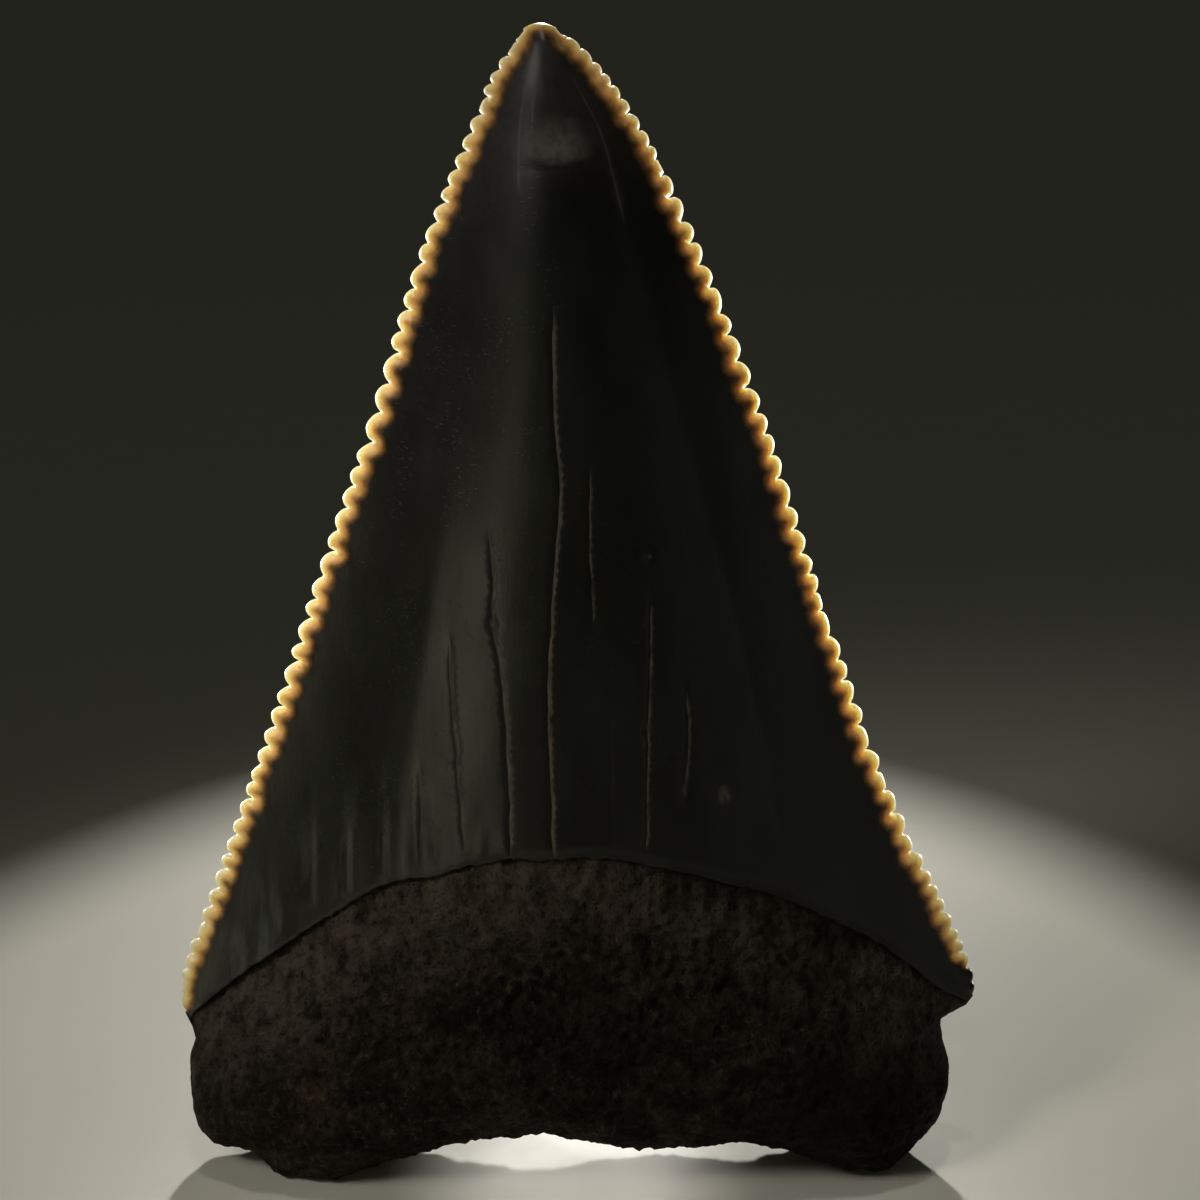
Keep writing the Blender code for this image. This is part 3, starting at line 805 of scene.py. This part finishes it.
def enamel_relief(shape, points, inner, settings):
    """How far the enamel stands out of the smooth crown, its cracks, and where the painted highlight beside
    the cracks and the pale chips lie.
    """
    x, _, z = points.T
    high = z - shape.junction_height(x, "inner")
    height = sum(rise * lumps(points, size, seed) for rise, size, seed in ENAMEL_WAVES)
    left_foot = smoothstep((5.0 - high) / 4.0)
    left_foot *= smoothstep((x + 15.0) / 3.0) * smoothstep((-1.0 - x) / 5.0)
    rise, size, seed = FOOT_WAVES
    folds = face_ridges(x, z) + foot_folds(x, z) + rise * left_foot * lumps(points, size, seed)
    cracks = np.where(inner, crack_depths(shape, x, z), 0.0)
    # Painted highlight: the cracks again, shifted to the right, where their lips catch the light.
    sheen_and_chip_mask = np.where(inner, crack_depths(shape, x - CRACK_SHEEN_SHIFT, z), 0.0)
    marks = np.zeros(len(x))
    for spot in [*CRACK_CHIPS, TIP_FACET, TIP_CHIP]:
        marks += spot[4] * dip(x, z, spot)
    # The chips are paler too, as broken enamel.
    for spot in CRACK_CHIPS:
        sheen_and_chip_mask = np.maximum(sheen_and_chip_mask, np.where(inner, 0.75 * dip(x, z, spot), 0.0))
    for pit_x, pit_z, radius in TIP_PITS:
        marks += PIT_DEPTH * dip(x, z, (pit_x, pit_z, radius, radius))
    height += np.where(inner, folds - marks, 0.0) - settings.crack_depth / MM * cracks
    return height, cracks, sheen_and_chip_mask


def root_relief(shape, points, inner, top, settings):
    """How far the bone stands out of the smooth root, how hollow each place is, and how much stain and
    painted shade it takes.
    """
    x, _, z = points.T
    upper = smoothstep((z - 0.5 * top) / (0.35 * top)) * np.where(inner, 1.0, 0.6)
    porous = dip(x, z, POROUS_BAND)
    middle_lumps = lumps(points, 1.1, 11.0)
    grain = lumps(points, 0.45, 17.0)
    fine = lumps(points, 0.22, 23.0)
    fibres = lumps(points, (0.30, 0.30, 2.6), 31.0)
    pores = pits(points, 0.85, 37.0, 0.42) * smoothstep(lumps(points, 3.0, 41.0) + 0.35 + 0.5 * porous)
    height = LUMP_RISE * middle_lumps + (GRAIN_RISE + POROUS_GRAIN * porous) * grain + FINE_RISE * fine
    height += FIBRE_RISE * upper * fibres - (PORE_DEPTH + POROUS_PORES * porous) * pores
    marks = np.zeros(len(x))
    for spot in ROOT_DENTS:
        marks += spot[4] * dip(x, z, spot)
    crevice = bell((top - z - CREVICE) / CREVICE)
    height = settings.root_roughness * height - np.where(inner, marks, 0.0) - CREVICE_DEPTH * crevice
    # The hollow mask darkens the low places of the relief, the dents and the crevice under the enamel as
    # painted shade, and the pores as dark sediment with painted shade.
    hollow = smoothstep(0.25 - 0.45 * grain - 0.25 * middle_lumps - 0.5 * upper * fibres)
    hollow = 0.40 * hollow + 0.8 * pores + 0.9 * crevice + np.where(inner, 2.0 * marks + 0.35 * porous, 0.0)
    hollow = np.clip(hollow, 0.0, 1.0)
    # Stains and painted shade, darker towards the right, the bottom and under the enamel's right lip.
    unmarked = np.ones(len(x))
    for spot in ROOT_STAINS_AND_SHADE:
        unmarked *= 1 - spot[4] * dip(x, z, spot)
    return height, hollow, 1 - unmarked


def carve(shape, fine, normals, settings):
    """Moves the points out and in along their normals, and returns the masks that the materials read."""
    points = fine.points
    inner = fine.side <= 0
    x, _, z = points.T
    top = np.where(inner, shape.junction_height(x, "inner"), shape.junction_height(x, "outer"))
    root = smoothstep((top - z) / LIP_WIDTH + 0.5)
    edge = distances(shape.cutting_tree, points[:, [0, 2]])
    glow_foot = np.where(x > 0, SHOULDER_GLOW[1], SHOULDER_GLOW[-1])
    enamel_height, cracks, sheen_and_chip_mask = enamel_relief(shape, points, inner, settings)
    root_height, hollow, stain_and_shade = root_relief(shape, points, inner, top, settings)
    from_rim = distances(shape.rim_tree, points[:, [0, 2]])
    root_height *= RIM_RELIEF + (1 - RIM_RELIEF) * smoothstep(from_rim / RIM_RELIEF_REACH)
    enamel_height *= smoothstep(edge / ENAMEL_RELIEF_REACH)
    height = (1 - root) * enamel_height + root * root_height
    carved = points + normals * height[:, None]
    carved[:, 2] = np.maximum(carved[:, 2], 0.0)
    carved[points[:, 2] < GROUND_BAND, 2] = 0.0
    wear = np.where(inner, wear_marks(x, z, points), 0.0)
    # The painted glow of the edge turns dark below the shoulders and amber at the tip.
    edge = (
        edge
        + PAINTED_GLOW_REACH * smoothstep((glow_foot - z) / SHOULDER_FADE)
        + TIP_AMBER * smoothstep((z - TIP_AMBER_FOOT) / TIP_AMBER_RISE)
    )
    masks = {
        "edge": edge,
        "crack": cracks,
        "sheen_and_chips": sheen_and_chip_mask,
        "wear": wear,
        "hollow": hollow,
        "stain_and_shade": stain_and_shade,
        "junction": z - top,
    }
    return carved, masks


def point_normals(points, triangles):
    """Unit normals of the points, as the mean of the triangles round them."""
    corner = points[triangles]
    face = np.cross(corner[:, 1] - corner[:, 0], corner[:, 2] - corner[:, 0])
    total = np.zeros_like(points)
    for k in range(3):
        np.add.at(total, triangles[:, k], face)
    return total / np.maximum(np.linalg.norm(total, axis=1, keepdims=True), 1e-12)


def tooth_place(shape):
    """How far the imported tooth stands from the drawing, from where its tip is."""
    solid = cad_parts["tooth"].data.vertices
    tip = max((vertex.co for vertex in solid), key=lambda co: co.z)
    return np.array([tip.x / MM - shape.tip[0], tip.y / MM, 0.0])


def tooth_mesh(settings):
    """The finished tooth as one mesh, with the enamel in slot 0 and the root in slot 1."""
    shape = ToothShape()
    fine = FineMesh(shape)
    triangles = np.concatenate(fine.triangles)
    points, masks = carve(shape, fine, point_normals(fine.points, triangles), settings)
    mesh = bpy.data.meshes.new("fossil_tooth")
    mesh.from_pydata((points + tooth_place(shape)) * MM, [], triangles)
    mesh.polygons.foreach_set("material_index", np.concatenate(fine.is_root).astype(np.int32))
    mesh.polygons.foreach_set("use_smooth", np.ones(len(triangles), bool))
    for name, values in masks.items():
        mesh.attributes.new(name, "FLOAT", "POINT").data.foreach_set("value", values.astype(np.float32))
    mesh.update()
    return mesh


class Nodes:
    """Short ways to add and join shader nodes."""

    def __init__(self, material):
        material.use_nodes = True
        self.tree = material.node_tree
        self.shader = self.tree.nodes["Principled BSDF"]

    def add(self, kind, inputs=(), **settings):
        node = self.tree.nodes.new(kind)
        for name, value in settings.items():
            setattr(node, name, value)
        for name, value in dict(inputs).items():
            self.feed(value, node.inputs[name])
        return node

    def feed(self, value, socket):
        if isinstance(value, bpy.types.NodeSocket):
            self.tree.links.new(value, socket)
        elif socket.type == "RGBA":
            socket.default_value = (*value, 1.0)
        else:
            socket.default_value = value

    def surface(self, name, value):
        """Sets one input of the shader, or joins it."""
        self.feed(value, self.shader.inputs[name])

    def mask(self, name):
        return self.add("ShaderNodeAttribute", attribute_name=name).outputs["Fac"]

    def coordinates(self):
        return self.add("ShaderNodeTexCoord").outputs["Object"]

    def place(self, stretch):
        """The coordinates in sizes of the grain, which may differ along each axis."""
        scale = (1 / (MM * np.broadcast_to(stretch, (3,)))).tolist()
        inputs = {"Vector": self.coordinates(), "Scale": scale}
        return self.add("ShaderNodeMapping", inputs).outputs["Vector"]

    def grain(self, stretch, detail=3.0, roughness=0.55):
        inputs = {"Vector": self.place(stretch), "Scale": 1.0, "Detail": detail, "Roughness": roughness}
        return self.add("ShaderNodeTexNoise", inputs).outputs["Fac"]

    def spots(self, size):
        inputs = {"Vector": self.place(size), "Scale": 1.0}
        return self.add("ShaderNodeTexVoronoi", inputs).outputs["Distance"]

    def span(self, value, low, high, to_low=0.0, to_high=1.0):
        inputs = {"Value": value, "From Min": low, "From Max": high, "To Min": to_low, "To Max": to_high}
        return self.add("ShaderNodeMapRange", inputs, interpolation_type="SMOOTHSTEP").outputs["Result"]

    def cloud(self, stretch, low, high, to_low=0.0, to_high=1.0, detail=3.0, roughness=0.55):
        """Soft patches: the grain between low and high, spread over the range from to_low to to_high."""
        return self.span(self.grain(stretch, detail, roughness), low, high, to_low, to_high)

    def reckon(self, operation, first, second, clamp=False):
        node = self.add("ShaderNodeMath", operation=operation, use_clamp=clamp)
        self.feed(first, node.inputs[0])
        self.feed(second, node.inputs[1])
        return node.outputs[0]

    def times(self, first, second, clamp=False):
        return self.reckon("MULTIPLY", first, second, clamp)

    def plus(self, first, second, clamp=False):
        return self.reckon("ADD", first, second, clamp)

    def minus(self, first, second):
        return self.reckon("SUBTRACT", first, second)

    def blend(self, share, first, second):
        node = self.add("ShaderNodeMix", data_type="RGBA")
        self.feed(share, node.inputs["Factor"])
        self.feed(first, node.inputs["A"])
        self.feed(second, node.inputs["B"])
        return node.outputs["Result"]

    def ramp(self, value, stops):
        node = self.add("ShaderNodeValToRGB", {"Fac": value})
        elements = node.color_ramp.elements
        while len(elements) < len(stops):
            elements.new(0.5)
        for element, (position, colour) in zip(elements, stops):
            element.position = position
            element.color = (*colour, 1.0)
        return node.outputs["Color"]

    def bump(self, height, distance, strength=1.0, under=None):
        inputs = {"Height": height, "Distance": distance, "Strength": strength}
        if under is not None:
            inputs["Normal"] = under
        return self.add("ShaderNodeBump", inputs).outputs["Normal"]


def enamel_material(settings):
    """Black fossil enamel, with a painted glow of amber and cream in its thin serrated edge where back
    light shines through.
    """
    material = bpy.data.materials.new("fossil_enamel")
    nodes = Nodes(material)
    wander = nodes.cloud(1.4, 0.3, 0.7, -0.05, 0.05)
    blotch = nodes.cloud(0.55, 0.35, 0.68, -0.02, 0.05)
    depth = nodes.plus(nodes.mask("edge"), nodes.plus(wander, blotch))
    depth = nodes.times(depth, 1 / PAINTED_GLOW_REACH, clamp=True)
    # Painted glow: the ramp from white through amber to dark brown stands in for the back light shining
    # through the thin edge.
    painted_glow_colour = nodes.ramp(
        depth,
        [
            (0.00, settings.painted_glow_white),
            (0.14, settings.painted_glow_white),
            (0.27, settings.painted_glow_cream),
            (0.45, settings.painted_glow_amber),
            (0.62, settings.painted_glow_brown),
            (0.80, settings.painted_glow_dark),
            (1.00, settings.enamel_black),
        ],
    )
    mottle = nodes.cloud((3.5, 3.5, 7.0), 0.35, 0.7, detail=4.0)
    body = nodes.blend(mottle, settings.enamel_black, settings.enamel_olive)

    # Painted reflections: pale streaks at the foot of the crown's left half, where its folds catch the
    # light.
    fold_reflections = nodes.cloud((1.0, 1.2, 9.0), 0.46, 0.80, detail=3.0)
    foot = nodes.span(nodes.mask("junction"), 7.0, 0.5)
    across = nodes.add("ShaderNodeSeparateXYZ", {"Vector": nodes.coordinates()}).outputs["X"]
    right = nodes.span(across, -5.0 * MM, 1.0 * MM)
    left = nodes.span(across, -4.0 * MM, -9.0 * MM)
    fold_reflections = nodes.times(nodes.times(foot, left), fold_reflections)
    body = nodes.blend(fold_reflections, body, settings.enamel_fold_reflection)
    inward = nodes.span(depth, 0.55, 1.0)
    colour = nodes.blend(inward, painted_glow_colour, body)

    # Painted shade in the cracks with a painted highlight on their right lips, paler chips, and the rubbed
    # enamel below the tip, paler partly from wear and partly as painted sheen.
    colour = nodes.blend(nodes.span(nodes.mask("crack"), 0.2, 0.7), colour, settings.crack_shade)
    broken = nodes.cloud((0.3, 0.3, 0.9), 0.35, 0.62, 0.25, 1.0)
    sheen_and_chips = nodes.times(nodes.span(nodes.mask("sheen_and_chips"), 0.25, 0.75), broken)
    colour = nodes.blend(sheen_and_chips, colour, settings.crack_sheen_and_chips)
    # Rubbed enamel, paler partly from wear and partly as painted sheen where the facet catches the light.
    scuffs = nodes.cloud(0.4, 0.25, 0.6, 0.45, 1.0, detail=4.0)
    rubbed = nodes.times(nodes.mask("wear"), scuffs)
    colour = nodes.blend(nodes.times(rubbed, inward), colour, settings.worn_enamel_and_sheen)
    nodes.surface("Base Color", colour)

    # The polish is duller in specks, on the cracks' lips and chips and in wear, and along the right half of
    # the crown's foot.
    specks = nodes.cloud((0.22, 0.22, 0.09), 0.60, 0.70, detail=1.5)
    specks = nodes.times(specks, nodes.cloud((1.6, 1.6, 2.6), 0.42, 0.60, detail=3.0))
    matt = nodes.cloud((2.2, 2.2, 3.5), 0.3, 0.75, 0.30, 0.37, detail=5.0, roughness=0.6)
    matt = nodes.plus(matt, nodes.times(specks, 0.16))
    matt = nodes.plus(matt, nodes.times(sheen_and_chips, 0.4))
    matt = nodes.plus(matt, nodes.times(rubbed, 0.3), clamp=True)
    lip = nodes.times(nodes.span(nodes.mask("junction"), 0.7, 0.2), right)
    nodes.surface("Roughness", nodes.plus(matt, nodes.times(lip, 0.5), clamp=True))

    # Light passes through the thin edge.
    glow = nodes.span(depth, 0.75, 0.15)
    nodes.surface("Subsurface Weight", nodes.times(glow, settings.edge_glow))
    nodes.surface("Subsurface Radius", (1.0, 0.80, 0.48))
    nodes.surface("Subsurface Scale", 1.3 * MM)
    fibres = nodes.bump(nodes.grain((0.16, 0.16, 3.0), 3.0), 0.008 * MM, 0.5)
    skin = nodes.bump(nodes.grain((0.30, 0.30, 0.45), 6.0, 0.65), 0.010 * MM, 0.5, fibres)
    nodes.surface("Normal", nodes.bump(nodes.minus(1.0, specks), 0.008 * MM, 0.4, skin))
    return material


def root_material(settings):
    """Porous fossil bone, dull brown-grey, with painted shade in its hollows and stains, and a paler upper
    band that is partly painted light on the root's upward-facing top.
    """
    material = bpy.data.materials.new("fossil_root")
    nodes = Nodes(material)
    patches = nodes.cloud((2.6, 2.6, 2.0), 0.34, 0.68, detail=5.0, roughness=0.6)
    colour = nodes.blend(patches, settings.root_dark, settings.root_brown)
    # The paler upper band: the bone's fibres, painted paler partly as light falling on the upward-facing
    # top of the root.
    upper = nodes.span(nodes.mask("junction"), -6.5, -0.8)
    fibres = nodes.cloud((0.8, 0.8, 1.8), 0.30, 0.62, detail=5.0, roughness=0.6)
    colour = nodes.blend(nodes.times(nodes.times(upper, fibres), 0.8), colour, settings.root_pale_and_top_light)

    # The crumbs' peaks are tan, partly the bone's colour and partly painted light, and their gaps painted
    # shade, from the grain that also bumps them, less so in the smoother upper band.
    crumbs = nodes.grain((0.34, 0.34, 0.42), 7.0, 0.72)
    rough = nodes.minus(1.0, nodes.times(upper, 0.55))
    peaks = nodes.times(rough, nodes.span(crumbs, 0.53, 0.66, 0.0, 0.55))
    colour = nodes.blend(peaks, colour, settings.root_crumb_tan_and_light)
    gaps = nodes.times(rough, nodes.span(crumbs, 0.50, 0.38, 0.0, 0.85))
    colour = nodes.blend(gaps, colour, settings.root_shade_and_stain)
    # Stains and painted shade of the root.
    cloudy = nodes.cloud(1.1, 0.3, 0.7, 1.0, 0.75, detail=4.0)
    colour = nodes.blend(nodes.times(nodes.mask("stain_and_shade"), cloudy), colour, settings.root_shade_and_stain)
    # Painted shade in the hollows, dents and crevice, with dark sediment in the pores.
    hollow = nodes.span(nodes.mask("hollow"), 0.25, 0.95)
    colour = nodes.blend(hollow, colour, settings.root_shade_and_stain)
    nodes.surface("Base Color", colour)
    nodes.surface("Roughness", nodes.span(patches, 0.0, 1.0, 0.88, 0.68))
    nodes.surface("Specular IOR Level", 0.12)
    coarse = nodes.bump(crumbs, 0.34 * MM)
    strands = nodes.bump(nodes.grain((0.14, 0.14, 1.3), 4.0), 0.05 * MM, 0.6, coarse)
    pores = nodes.span(nodes.spots(0.24), 0.05, 0.40)
    nodes.surface("Normal", nodes.bump(pores, 0.10 * MM, 0.9, strands))
    return material


def colour_property(name, description, red, green, blue):
    """A colour setting, with its default in linear red, green and blue."""
    return FloatVectorProperty(
        name=name,
        description=description,
        subtype="COLOR",
        size=3,
        min=0.0,
        max=1.0,
        default=(red, green, blue),
    )


class ToothSettings(bpy.types.PropertyGroup):
    """Sizes and colours of the tooth."""

    crack_depth: FloatProperty(
        name="Crack depth",
        description="How deep the cracks cut into the enamel",
        default=0.000045,
        unit="LENGTH",
    )
    root_roughness: FloatProperty(
        name="Root relief",
        description="How strongly the bone of the root is broken up",
        default=1.0,
        subtype="FACTOR",
    )
    edge_glow: FloatProperty(
        name="Edge glow",
        description="How much light passes through the thin cutting edge",
        default=0.9,
        subtype="FACTOR",
    )
    enamel_black: colour_property("Enamel", "The enamel's main colour", 0.0085, 0.0083, 0.0062)
    enamel_olive: colour_property("Enamel mottle", "Paler patches of the enamel", 0.0150, 0.0152, 0.0112)
    # Painted reflections of the folds at the crown's foot.
    enamel_fold_reflection: colour_property("Enamel streaks", "Streaks at the crown's foot", 0.075, 0.078, 0.070)
    # Worn enamel, paler than its wear alone: partly painted sheen of the light that the tip's facet
    # catches.
    worn_enamel_and_sheen: colour_property("Worn enamel", "Enamel rubbed dull near the tip", 0.150, 0.134, 0.118)
    # The edge colours below are painted glow of the back light shining through the thin serrated edge.
    painted_glow_white: colour_property("Edge rim", "The very rim of the serrations", 0.90, 0.79, 0.60)
    painted_glow_cream: colour_property("Edge cream", "The serrations just inside their rim", 0.92, 0.76, 0.42)
    painted_glow_amber: colour_property("Edge amber", "The body of each serration", 0.80, 0.54, 0.17)
    painted_glow_brown: colour_property("Edge brown", "Where the edge begins to darken", 0.34, 0.15, 0.040)
    painted_glow_dark: colour_property("Edge dark", "Where the edge meets the enamel", 0.050, 0.024, 0.011)
    # Painted shade at the bottom of the cracks.
    crack_shade: colour_property("Crack", "The bottom of the cracks", 0.004, 0.003, 0.002)
    # Painted highlight on the right lip of each crack, also used for the paler chips.
    crack_sheen_and_chips: colour_property("Crack dust", "Fine sediment beside the cracks", 0.085, 0.072, 0.050)
    root_dark: colour_property("Root dark", "The darker bone", 0.013, 0.009, 0.006)
    root_brown: colour_property("Root brown", "The main colour of the bone", 0.042, 0.029, 0.017)
    # Partly painted light on the upward-facing top of the root.
    root_pale_and_top_light: colour_property("Root pale", "The paler band below the enamel", 0.122, 0.102, 0.076)
    # Partly the bone's tan crumbs and partly painted light on their peaks.
    root_crumb_tan_and_light: colour_property("Root tan", "Small tan crumbs of the bone", 0.120, 0.095, 0.066)
    # Painted shade in the hollows and crumb gaps, with stains and sediment.
    root_shade_and_stain: colour_property("Root hollows", "Dark sediment and stains", 0.005, 0.004, 0.003)


class StudioSettings(bpy.types.PropertyGroup):
    """The floor, the lights and the camera."""

    floor_colour: colour_property("Floor", "The pale floor", 0.72, 0.70, 0.62)
    backdrop_level: FloatProperty(
        name="Backdrop",
        description="Brightness of the room behind",
        default=0.028,
    )
    lens: FloatProperty(
        name="Lens",
        description="Focal length of the camera on a 36 mm frame",
        default=60.0,
    )
    camera_tilt: FloatProperty(
        name="Camera tilt",
        description="How far the camera looks down",
        default=math.radians(15.7),
        subtype="ANGLE",
    )


def put(name, data):
    """A new object in the scene."""
    made = bpy.data.objects.new(name, data)
    bpy.context.scene.collection.objects.link(made)
    return made


class FOSSIL_OT_tooth(bpy.types.Operator):
    """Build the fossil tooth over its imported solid"""

    bl_idname = "fossil.tooth"
    bl_label = "Fossil Tooth"

    def execute(self, context):
        settings = context.scene.fossil_tooth
        mesh = tooth_mesh(settings)
        mesh.materials.append(enamel_material(settings))
        mesh.materials.append(root_material(settings))
        tooth = put("fossil_tooth", mesh)
        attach(tooth, "root")
        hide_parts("tooth")
        return {"FINISHED"}


def floor_material(colour):
    """A plain pale floor with a faint unevenness in its sheen."""
    material = bpy.data.materials.new("studio_floor")
    nodes = Nodes(material)
    nodes.surface("Base Color", colour)
    nodes.surface("Roughness", nodes.cloud(9.0, 0.3, 0.7, 0.50, 0.62, detail=4.0))
    return material


def hang(name, light, place, target):
    """Hangs a light, with place and target in millimetres."""
    lamp = put(name, light)
    lamp.location = Vector(place) * MM
    lamp.rotation_euler = (Vector(target) - Vector(place)).to_track_quat("-Z", "Y").to_euler()


def soft_light(name, place, target, width, height, spread, power, colour):
    """A rectangular soft light."""
    light = bpy.data.lights.new(name, "AREA")
    light.shape = "RECTANGLE"
    light.size = width * MM
    light.size_y = height * MM
    light.spread = math.radians(spread)
    light.energy = power
    light.color = colour
    hang(name, light, place, target)


def spot_light(name, place, target, cone, blend, radius, power, colour):
    """A narrow light with a round pool."""
    light = bpy.data.lights.new(name, "SPOT")
    light.spot_size = math.radians(cone)
    light.spot_blend = blend
    light.shadow_soft_size = radius * MM
    light.energy = power
    light.color = colour
    hang(name, light, place, target)


class FOSSIL_OT_studio(bpy.types.Operator):
    """Lay the pale floor, hang the lights and place the camera"""

    bl_idname = "fossil.studio"
    bl_label = "Studio"

    def execute(self, context):
        settings = context.scene.fossil_studio
        self.lay_floor(settings)
        self.hang_lights(settings)
        self.place_camera(settings)
        return {"FINISHED"}

    def lay_floor(self, settings):
        """A round floor that turns up into a low wall all round, so that no horizon shows."""
        profile = [(0.01, 0.0)]
        for angle in range(0, 91, 6):
            turn = math.radians(angle)
            radius = COVE_FLOOR_RADIUS + COVE_CURVE_RADIUS * math.sin(turn)
            profile.append((radius, COVE_CURVE_RADIUS * (1 - math.cos(turn))))
        profile.append((COVE_FLOOR_RADIUS + COVE_CURVE_RADIUS, COVE_WALL_HEIGHT))
        points = [
            (radius * math.cos(side) * MM, radius * math.sin(side) * MM, height * MM)
            for radius, height in profile
            for side in (2 * math.pi * i / COVE_SIDES for i in range(COVE_SIDES))
        ]
        faces = [tuple(range(COVE_SIDES))]
        for ring in range(len(profile) - 1):
            for i in range(COVE_SIDES):
                low, step = ring * COVE_SIDES, (i + 1) % COVE_SIDES
                faces.append((low + i, low + COVE_SIDES + i, low + COVE_SIDES + step, low + step))
        mesh = bpy.data.meshes.new("floor")
        mesh.from_pydata(points, [], faces)
        mesh.polygons.foreach_set("use_smooth", np.ones(len(faces), bool))
        mesh.materials.append(floor_material(settings.floor_colour))
        floor = put("floor", mesh)

    def hang_lights(self, settings):
        for light in SPOT_LIGHTS:
            spot_light(*light)
        for light in SOFT_LIGHTS:
            soft_light(*light)
        world = bpy.data.worlds.new("studio")
        world.use_nodes = True
        backdrop = [settings.backdrop_level * share for share in BACKDROP_TINT]
        world.node_tree.nodes["Background"].inputs["Color"].default_value = (*backdrop, 1.0)
        bpy.context.scene.world = world
        bpy.context.scene.view_settings.view_transform = "Standard"

    def place_camera(self, settings):
        camera = bpy.data.cameras.new("camera")
        camera.lens = settings.lens
        camera.sensor_width = SENSOR_WIDTH
        camera.clip_start = 1 * MM
        viewer = put("camera", camera)
        viewer.location = Vector(CAMERA_PLACE) * MM
        viewer.rotation_euler = (math.radians(90) - settings.camera_tilt, 0.0, 0.0)
        bpy.context.scene.camera = viewer


class FOSSIL_PT_panel(bpy.types.Panel):
    """The tooth's and the studio's settings and builders"""

    bl_label = "Fossil Tooth"
    bl_idname = "FOSSIL_PT_panel"
    bl_space_type = "VIEW_3D"
    bl_region_type = "UI"
    bl_category = "Fossil Tooth"

    def draw(self, context):
        for settings, operator in (
            (context.scene.fossil_tooth, FOSSIL_OT_tooth),
            (context.scene.fossil_studio, FOSSIL_OT_studio),
        ):
            box = self.layout.box()
            for name in type(settings).__annotations__:
                box.prop(settings, name)
            box.operator(operator.bl_idname)


CLASSES = (ToothSettings, StudioSettings, FOSSIL_OT_tooth, FOSSIL_OT_studio, FOSSIL_PT_panel)


def register():
    for cls in CLASSES:
        bpy.utils.register_class(cls)
    bpy.types.Scene.fossil_tooth = PointerProperty(type=ToothSettings)
    bpy.types.Scene.fossil_studio = PointerProperty(type=StudioSettings)


def unregister():
    del bpy.types.Scene.fossil_studio
    del bpy.types.Scene.fossil_tooth
    for cls in reversed(CLASSES):
        bpy.utils.unregister_class(cls)


def corners(box):
    return [[float(value) for value in corner] for corner in box]


def main():
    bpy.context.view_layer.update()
    register()
    bpy.ops.fossil.studio()
    bpy.ops.fossil.tooth()


if __name__ == "__main__":
    main()
